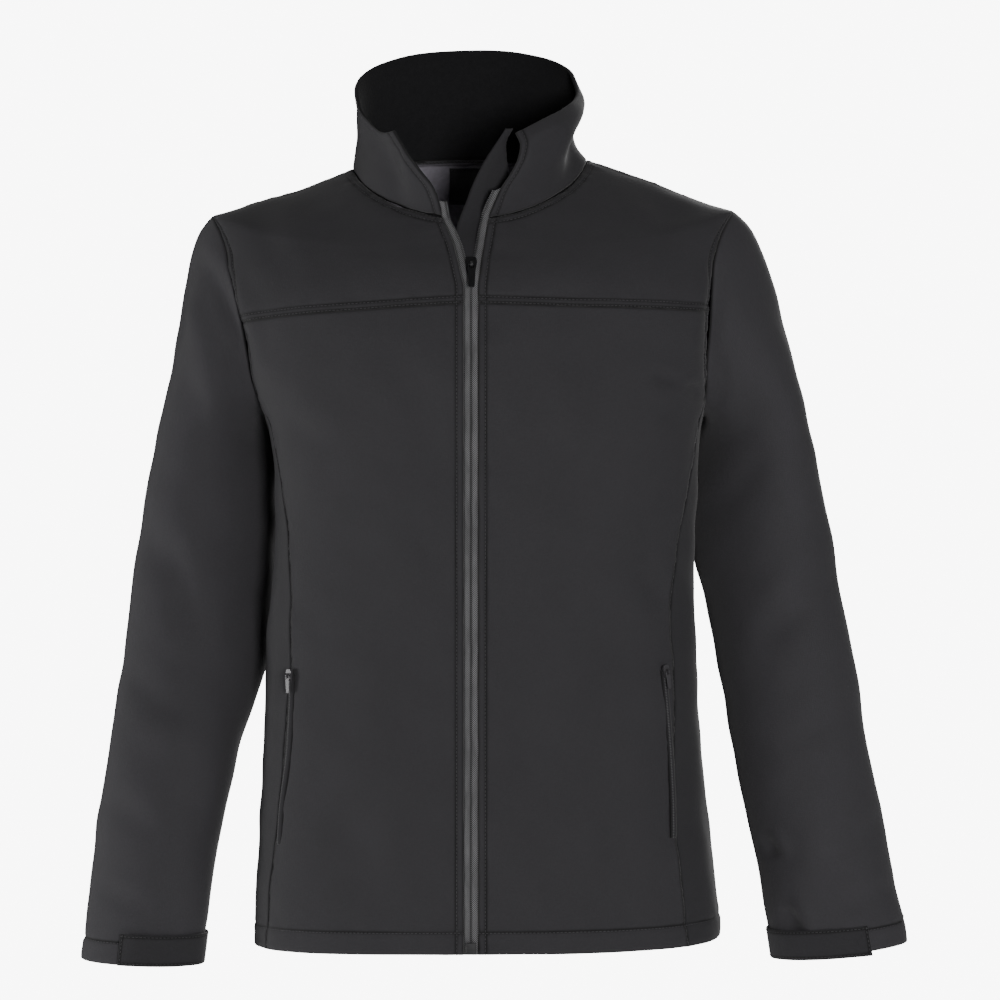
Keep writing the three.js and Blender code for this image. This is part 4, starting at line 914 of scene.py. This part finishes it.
def cloth_material(name, colour, thread=None, roughness=0.82, sheen=0.08, kind="woven threads", deep=0.00022,
                   vary=(0.8, 1.2)):
    """Woven or brushed cloth on its cut map, grooved along its stitch lines, with painted shade darkening the
    colour there.
    """
    material, tree, shader = start_material(name)
    cut = add_node(tree, "ShaderNodeUVMap", uv_map="cut")
    face = add_node(tree, "ShaderNodeGroup", node_tree=group(kind))
    tree.links.new(cut.outputs["UV"], face.inputs["Cut"])
    face.inputs["Size"].default_value = thread or bpy.context.scene.jacket_sizes.weave
    distance = add_node(tree, "ShaderNodeAttribute", attribute_name="seam")
    groove = add_node(tree, "ShaderNodeGroup", node_tree=group("stitched groove"))
    tree.links.new(distance.outputs["Fac"], groove.inputs["Distance"])
    groove.inputs["Width"].default_value = GROOVE_AND_PAINTED_SHADE["width"]
    seam_groove_and_shade = groove.outputs["Groove"]
    # Painted shade: the base colour is multiplied darker along seams and stitch lines, standing in for the
    # shadow in their grooves.
    painted_seam_shade = add_node(tree, "ShaderNodeMix", data_type="RGBA", blend_type="MULTIPLY")
    tree.links.new(times(tree, seam_groove_and_shade, GROOVE_AND_PAINTED_SHADE["share"]), painted_seam_shade.inputs["Factor"])
    tree.links.new(tinted(tree, face.outputs["Shade"], colour, *vary), painted_seam_shade.inputs[MIX_A])
    painted_seam_shade.inputs[MIX_B].default_value = (*[GROOVE_AND_PAINTED_SHADE["shade"]] * 3, 1)
    tree.links.new(painted_seam_shade.outputs[MIX_RESULT], shader.inputs["Base Color"])
    uneven = times(tree, face.outputs["Height"], 0.16)
    tree.links.new(math_node(tree, "ADD", uneven, roughness - 0.08), shader.inputs["Roughness"])
    dent = times(tree, seam_groove_and_shade, GROOVE_AND_PAINTED_SHADE["depth"])
    bump(tree, shader, math_node(tree, "SUBTRACT", face.outputs["Height"], dent), deep)
    shader.inputs["Sheen Weight"].default_value = sheen
    shader.inputs["Sheen Roughness"].default_value = 0.55
    shader.inputs["Specular IOR Level"].default_value = 0.3
    return material


def plain_material(name, colour, roughness, grain, deep, metallic=0.0, vary=(0.85, 1.15), coat=0.0):
    """Enamelled metal, moulded coil or thread: fine grain on the piece's own coordinates."""
    material, tree, shader = start_material(name)
    place = add_node(tree, "ShaderNodeTexCoord").outputs["Object"]
    fine = scaled_noise(tree, place, EVEN, 1 / grain, 2.0)
    tree.links.new(tinted(tree, fine, colour, *vary), shader.inputs["Base Color"])
    rough = math_node(tree, "ADD", times(tree, fine, 0.2), roughness - 0.1)
    tree.links.new(rough, shader.inputs["Roughness"])
    bump(tree, shader, fine, deep)
    shader.inputs["Metallic"].default_value = metallic
    shader.inputs["Coat Weight"].default_value = coat
    return material


PILE = {"kind": "brushed pile", "deep": 0.0004}
MOULDED = {"grain": 0.0008, "deep": 0.00003}
ENAMELLED = {"grain": 0.0009, "deep": 0.00002, "vary": (0.8, 1.3)}
# Finishes: how each is made, its name, its colour setting and what is particular to it
FINISHES = {
    "cloth": (cloth_material, "softshell face", "cloth", {}),
    # Painted light: a lighter copy of the body's softshell for the sleeves.
    "sleeve_cloth": (cloth_material, "softshell sleeve face", "sleeve", {}),
    # Partly the side panels' own darker tone, partly painted shade for the shadow along the sides.
    "side_cloth": (cloth_material, "softshell side face", "side", {}),
    "lining": (cloth_material, "grey fleece lining", "lining",
               {"thread": 0.0014, "roughness": 0.95, "sheen": 0.2, "vary": (0.75, 1.2), **PILE}),
    "fleece": (cloth_material, "black collar fleece", "fleece",
               {"thread": 0.0013, "roughness": 0.97, "sheen": 0.03, "vary": (0.7, 1.3), **PILE}),
    "zip_tape": (cloth_material, "zip tape weave", "tape",
                 {"thread": 0.0017, "roughness": 0.75, "sheen": 0.1, "kind": "speckled twill",
                  "deep": 0.0003, "vary": (0.35, 4.2)}),
    "label": (cloth_material, "satin label", "label",
              {"thread": 0.0005, "roughness": 0.55, "sheen": 0.1, "deep": 0.0001, "vary": (0.85, 1.15)}),
    "neck_tape": (cloth_material, "neck tape weave", "neck",
                  {"thread": 0.0009, "sheen": 0.1, "deep": 0.0003, "vary": (0.75, 1.2)}),
    "coil": (plain_material, "moulded zip teeth", "coil", {"roughness": 0.42, **MOULDED}),
    "pocket_teeth": (plain_material, "grey pocket teeth", "tape", {"roughness": 0.5, **MOULDED}),
    "pocket_pull": (plain_material, "grey enamelled metal", "pull",
                    {"roughness": 0.5, "metallic": 0.3, "coat": 0.1, **ENAMELLED}),
    "zip_metal": (plain_material, "black enamelled metal", "metal",
                  {"roughness": 0.36, "metallic": 0.65, "coat": 0.35, **ENAMELLED}),
    "thread": (plain_material, "sewing thread", "thread",
               {"roughness": 0.7, "grain": 0.0004, "deep": 0.00008, "vary": (0.7, 1.3)}),
}


def finish_for(finish):
    """The material of a finish, in the scene's colours."""
    build, name, colour, values = FINISHES[finish]
    shown = getattr(bpy.context.scene.jacket_colours, colour)
    return bpy.data.materials.get(name) or build(name, shown, **values)


# Pieces


def settle(piece, slot, *nodes, body=BODY):
    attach(piece, body)
    if nodes:
        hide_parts(*nodes)
    return piece


def declare_sheet(piece, cloth):
    """Reads the flat width and length of a cloth piece and does nothing further with them."""
    width, length = cloth.flat
    if min(width, length) < NARROWEST_SHEET:
        return


def make_cloth(node, cloth, wall, finishes, slot):
    """A creased and sewn piece of the body, a sleeve or the collar, lined on its inside."""
    sizes = bpy.context.scene.jacket_sizes
    cloth.crease(sizes.crease_strength, sizes.ripple)
    cloth.shape_edges(sizes.pucker)
    made[node] = cloth
    piece = cloth_object(node + "_cloth", cloth, wall * MM, [finish_for(finish) for finish in finishes])
    settle(piece, slot, node)
    declare_sheet(piece, cloth)


def make_panel(node):
    """One cloth piece of the body or collar, on the form of its CAD node."""
    spec = PANELS[node]
    coarse = cad_net(node, spec["columns"], spec["facing"])
    step = bpy.context.scene.jacket_sizes.net_step
    cloth = Cloth(coarse, spec["edges"], step, inward=spec["facing"] == "in")
    make_cloth(node, cloth, spec["wall"], spec["finishes"], spec["finishes"][0])


def trim_values(node):
    return TRIMS[node.removesuffix("_right").removesuffix("_left")]


def trim_cloth(node, edges):
    """The net of a narrow piece."""
    columns, facing, wall_edge, step, _ = trim_values(node)
    return Cloth(cad_net(node, columns, facing, wall_edge * MM), edges, step * MM)


def trim_piece(name, node, cloth, finish, slot):
    """A narrow piece in one finish, with flat edges."""
    cloth.shape_edges(0)
    made[node] = cloth
    piece = cloth_object(name, cloth, trim_values(node)[-1] * MM, [finish_for(finish)])
    return settle(piece, slot, node)


def all_round(kind):
    return tuple((edge, *WHOLE, kind) for edge in EDGES)


class JACKET_OT_fronts(Operator):
    """Make the two fronts and the two yokes"""

    bl_idname = "jacket.fronts"
    bl_label = "Fronts and yokes"

    def execute(self, context):
        for node in ("front_right", "front_left", "yoke_right", "yoke_left"):
            make_panel(node)
        return {"FINISHED"}


class JACKET_OT_sides_and_back(Operator):
    """Make the side panels and the back"""

    bl_idname = "jacket.sides_and_back"
    bl_label = "Sides and back"

    def execute(self, context):
        for node in ("side_right", "side_left", "back"):
            make_panel(node)
        return {"FINISHED"}


class JACKET_OT_collar(Operator):
    """Make the collar's outer and inner faces"""

    bl_idname = "jacket.collar"
    bl_label = "Collar"

    def execute(self, context):
        for node in ("collar", "collar_inner"):
            make_panel(node)
        return {"FINISHED"}


class JACKET_OT_storm_flap(Operator):
    """Make the storm flap behind the zip"""

    bl_idname = "jacket.storm_flap"
    bl_label = "Storm flap"

    def execute(self, context):
        make_panel("storm_flap")
        return {"FINISHED"}


class JACKET_OT_sleeves(Operator):
    """Make both sleeves"""

    bl_idname = "jacket.sleeves"
    bl_label = "Sleeves"

    def execute(self, context):
        for node in ("sleeve_right", "sleeve_left"):
            coarse = cad_net(node, None, "large")
            cloth = Cloth(coarse, SLEEVE_EDGES, context.scene.jacket_sizes.net_step, closed=True)
            make_cloth(node, cloth, SLEEVE_WALL, ("sleeve_cloth", "lining"), "cloth")
        return {"FINISHED"}


class JACKET_OT_zip(Operator):
    """Make the main zip's tapes and teeth"""

    bl_idname = "jacket.zip"
    bl_label = "Main zip"

    def execute(self, context):
        rows = []
        for side, free, far in (("right", "end", "start"), ("left", "start", "end")):
            node = f"zip_tape_{side}"
            cloth = trim_cloth(node, ((free, *WHOLE, "toothed"), (far, *WHOLE, "joined")))
            trim_piece(node + "_weave", node, cloth, "zip_tape", "zip_tape")
            rows.append(teeth(cloth, free, COIL))
        teeth_object("zip_teeth", rows, COIL, "coil")
        return {"FINISHED"}


def hard_piece(node, body, edge):
    """A CAD solid of moulded metal with its edges rounded by this many millimetres."""
    mesh = merged_copy(node)
    bmesh.ops.dissolve_limit(mesh, angle_limit=FLAT_ANGLE, verts=mesh.verts, edges=mesh.edges)
    sharp = [e for e in mesh.edges if len(e.link_faces) == 2 and e.calc_face_angle(0) > BEVEL_ANGLE]
    bmesh.ops.bevel(mesh, geom=sharp, offset=edge * MM, offset_type="OFFSET", affect="EDGES",
                    segments=BEVEL_STEPS, profile=0.5, material=-1, clamp_overlap=True)
    bmesh.ops.recalc_face_normals(mesh, faces=mesh.faces)
    data = bpy.data.meshes.new(node + "_metal")
    mesh.to_mesh(data)
    mesh.free()
    finish = "pocket_pull" if node.startswith("pocket") else "zip_metal"
    piece = smooth_object(node + "_metal", data, [finish_for(finish)])
    weighted = piece.modifiers.new("flat faces", "WEIGHTED_NORMAL")
    weighted.weight = FLAT_FACES_FIRST
    return settle(piece, "zip_metal", node, body=body)


class JACKET_OT_zip_heads(Operator):
    """Make the sliders, the pulls and the box of the zips"""

    bl_idname = "jacket.zip_heads"
    bl_label = "Sliders and pulls"

    def execute(self, context):
        for node, edge in (("zip_slider", 0.5), ("zip_box", 0.6), ("pocket_slider_right", 0.35),
                           ("pocket_slider_left", 0.35)):
            hard_piece(node, BODY, edge)
        for node, edge in (("zip_pull", 0.32), ("pocket_pull_right", 0.22), ("pocket_pull_left", 0.22)):
            hard_piece(node, node, edge)
        return {"FINISHED"}


class JACKET_OT_pockets(Operator):
    """Make the zips of the side pockets"""

    bl_idname = "jacket.pockets"
    bl_label = "Pocket zips"

    def execute(self, context):
        rows = []
        for side in ("right", "left"):
            node = f"pocket_zip_{side}"
            cloth = trim_cloth(node, all_round("joined"))
            middle = cloth.distance("start") / cloth.distance("start")[:, -1:] - 0.5
            ridge = POCKET_RIDGE["height"] * MM * np.exp(-((middle / POCKET_RIDGE["width"]) ** 2))
            cloth.net = cloth.net + cloth.normals * ridge[..., None]
            trim_piece(node + "_weave", node, cloth, "side_cloth", "zip_tape")
            rows.append(teeth(cloth, "start", POCKET_COIL))
        teeth_object("pocket_teeth", rows, POCKET_COIL, "pocket_teeth")
        return {"FINISHED"}


class JACKET_OT_neck(Operator):
    """Make the neck tape and the bare neck label"""

    bl_idname = "jacket.neck"
    bl_label = "Neck tape and label"

    def execute(self, context):
        for node, slot in (("neck_tape", "neck_tape"), ("neck_label", "label")):
            cloth = trim_cloth(node, all_round("cut"))
            cloth.wave("neck", 0.25)
            declare_sheet(trim_piece(node + "_cloth", node, cloth, slot, slot), cloth)
        return {"FINISHED"}


class JACKET_OT_cuff_tabs(Operator):
    """Make the tabs that close the cuffs"""

    bl_idname = "jacket.cuff_tabs"
    bl_label = "Cuff tabs"

    def execute(self, context):
        for node in ("cuff_tab_right", "cuff_tab_left"):
            cloth = trim_cloth(node, all_round("cut"))
            cloth.wave("tab", 0.3)
            declare_sheet(trim_piece(node + "_cloth", node, cloth, "side_cloth", "side_cloth"), cloth)
        return {"FINISHED"}


# Names of the stitching pieces and the cloth pieces whose stitch lines each one holds
SEWN = {
    "stitching_front": ("front_right", "front_left", "yoke_right", "yoke_left"),
    "stitching_back": ("back", "side_right", "side_left"),
    "stitching_collar": ("collar",),
    "stitching_sleeves": ("sleeve_right", "sleeve_left"),
    "stitching_trims": ("cuff_tab_right", "cuff_tab_left", "neck_tape", "neck_label"),
}


class JACKET_OT_stitching(Operator):
    """Sew the seams, hems, tabs and tapes"""

    bl_idname = "jacket.stitching"
    bl_label = "Stitching"

    def execute(self, context):
        sizes = context.scene.jacket_sizes
        for name, nodes in SEWN.items():
            rows = []
            for cloth in (made[node] for node in nodes):
                for edge, first, last, kind in cloth.edges:
                    for inset in EDGE_SHAPES[kind]["stitches"]:
                        line = cloth.line(edge, first, last, inset * MM)
                        at, head, up = along(*line, sizes.stitch_pitch)
                        rows.append((at + up * STITCH_LIFT * MM, head, up))
            size = (sizes.stitch_length, sizes.thread, sizes.thread)
            settle(beads_object(name, rows, size, "thread"), "cloth")
        return {"FINISHED"}


# Stage

CAMERA = {"away": 3.2, "height": -0.25, "wide": 0.9, "middle": (0.0261, -0.2997)}
SENSOR = 36.0
FLOOR = {"radius": 3.6, "height": -1.42}
BACKDROP = {"seen": 8.5, "lights": 0.03}  # how bright it looks and how much light it gives
AIM = (0, 0, -0.3)
WHITE = (1, 1, 1, 1)
LIGHTS = (
    # place, size, power, colour
    ("key", (0.7, -3.2, -0.3), 0.8, 76, (1, 0.99, 0.98)),
    ("fill", (2.4, -1.9, 0.1), 1.3, 10, (0.97, 0.98, 1)),
    ("side", (-3.0, -0.35, -0.7), 1.0, 52, (1, 1, 1)),
    ("top", (0.2, -0.9, 2.6), 1.2, 9, (1, 1, 1)),
    ("back", (0.8, 2.8, 0.8), 1.6, 75, (1, 1, 1)),
)


class JACKET_OT_stage(Operator):
    """Make the floor, the lights, the backdrop colour and the camera"""

    bl_idname = "jacket.stage"
    bl_label = "Stage"

    def execute(self, context):
        scene = context.scene
        mesh = bmesh.new()
        bmesh.ops.create_circle(mesh, cap_ends=True, radius=FLOOR["radius"], segments=96)
        bmesh.ops.translate(mesh, verts=mesh.verts, vec=(0, 0, FLOOR["height"]))
        data = bpy.data.meshes.new("floor")
        mesh.to_mesh(data)
        mesh.free()
        floor = add_object("floor", data)
        material, tree, shader = start_material("pale floor")
        place = add_node(tree, "ShaderNodeTexCoord").outputs["Object"]
        soft = scaled_noise(tree, place, EVEN, 1.5)
        tree.links.new(tinted(tree, soft, (0.8, 0.8, 0.8), 0.98, 1.02), shader.inputs["Base Color"])
        shader.inputs["Roughness"].default_value = 0.9
        data.materials.append(material)

        for name, place, size, power, colour in LIGHTS:
            light = bpy.data.lights.new(name, "AREA")
            light.shape = "DISK"
            light.size = size
            light.energy = power
            light.color = colour
            lamp = add_object(name, light)
            lamp.location = place
            aim = Vector(AIM) - Vector(place)
            lamp.rotation_euler = aim.to_track_quat("-Z", "Y").to_euler()

        world = bpy.data.worlds.new("studio")
        world.use_nodes = True
        scene.world = world
        tree = world.node_tree
        back = tree.nodes["Background"]
        back.inputs["Color"].default_value = WHITE
        back.inputs["Strength"].default_value = BACKDROP["seen"]
        ambient = add_node(tree, "ShaderNodeBackground")
        ambient.inputs["Color"].default_value = WHITE
        ambient.inputs["Strength"].default_value = BACKDROP["lights"]
        seen = add_node(tree, "ShaderNodeLightPath").outputs["Is Camera Ray"]
        mix = add_node(tree, "ShaderNodeMixShader")
        tree.links.new(seen, mix.inputs[0])
        tree.links.new(ambient.outputs[0], mix.inputs[1])
        tree.links.new(back.outputs[0], mix.inputs[2])
        tree.links.new(mix.outputs[0], tree.nodes["World Output"].inputs["Surface"])

        lens = bpy.data.cameras.new("camera")
        lens.sensor_width = SENSOR
        lens.lens = SENSOR * CAMERA["away"] / CAMERA["wide"]
        lens.shift_x = CAMERA["middle"][0] / CAMERA["wide"]
        lens.shift_y = (CAMERA["middle"][1] - CAMERA["height"]) / CAMERA["wide"]
        camera = add_object("camera", lens)
        camera.location = (0, -CAMERA["away"], CAMERA["height"])
        camera.rotation_euler = (math.pi / 2, 0, 0)
        scene.camera = camera
        return {"FINISHED"}


STEPS = (
    JACKET_OT_stage, JACKET_OT_fronts, JACKET_OT_sides_and_back, JACKET_OT_sleeves, JACKET_OT_collar,
    JACKET_OT_storm_flap, JACKET_OT_zip, JACKET_OT_zip_heads, JACKET_OT_pockets, JACKET_OT_neck,
    JACKET_OT_cuff_tabs, JACKET_OT_stitching,
)


class JACKET_PT_panel(Panel):
    bl_idname = "JACKET_PT_panel"
    bl_label = "Softshell jacket"
    bl_space_type = "VIEW_3D"
    bl_region_type = "UI"
    bl_category = "Jacket"

    def draw(self, context):
        for settings in (context.scene.jacket_sizes, context.scene.jacket_colours):
            for key in settings.bl_rna.properties.keys():
                if key not in ("rna_type", "name"):
                    self.layout.prop(settings, key)
        for step in STEPS:
            self.layout.operator(step.bl_idname)


CLASSES = (JacketSizes, JacketColours, *STEPS, JACKET_PT_panel)


def register():
    for item in CLASSES:
        bpy.utils.register_class(item)
    bpy.types.Scene.jacket_sizes = PointerProperty(type=JacketSizes)
    bpy.types.Scene.jacket_colours = PointerProperty(type=JacketColours)


def unregister():
    del bpy.types.Scene.jacket_colours
    del bpy.types.Scene.jacket_sizes
    for item in reversed(CLASSES):
        bpy.utils.unregister_class(item)


def main():
    register()
    for step in STEPS:
        getattr(bpy.ops.jacket, step.bl_idname.split(".")[1])()


if __name__ == "__main__":
    main()
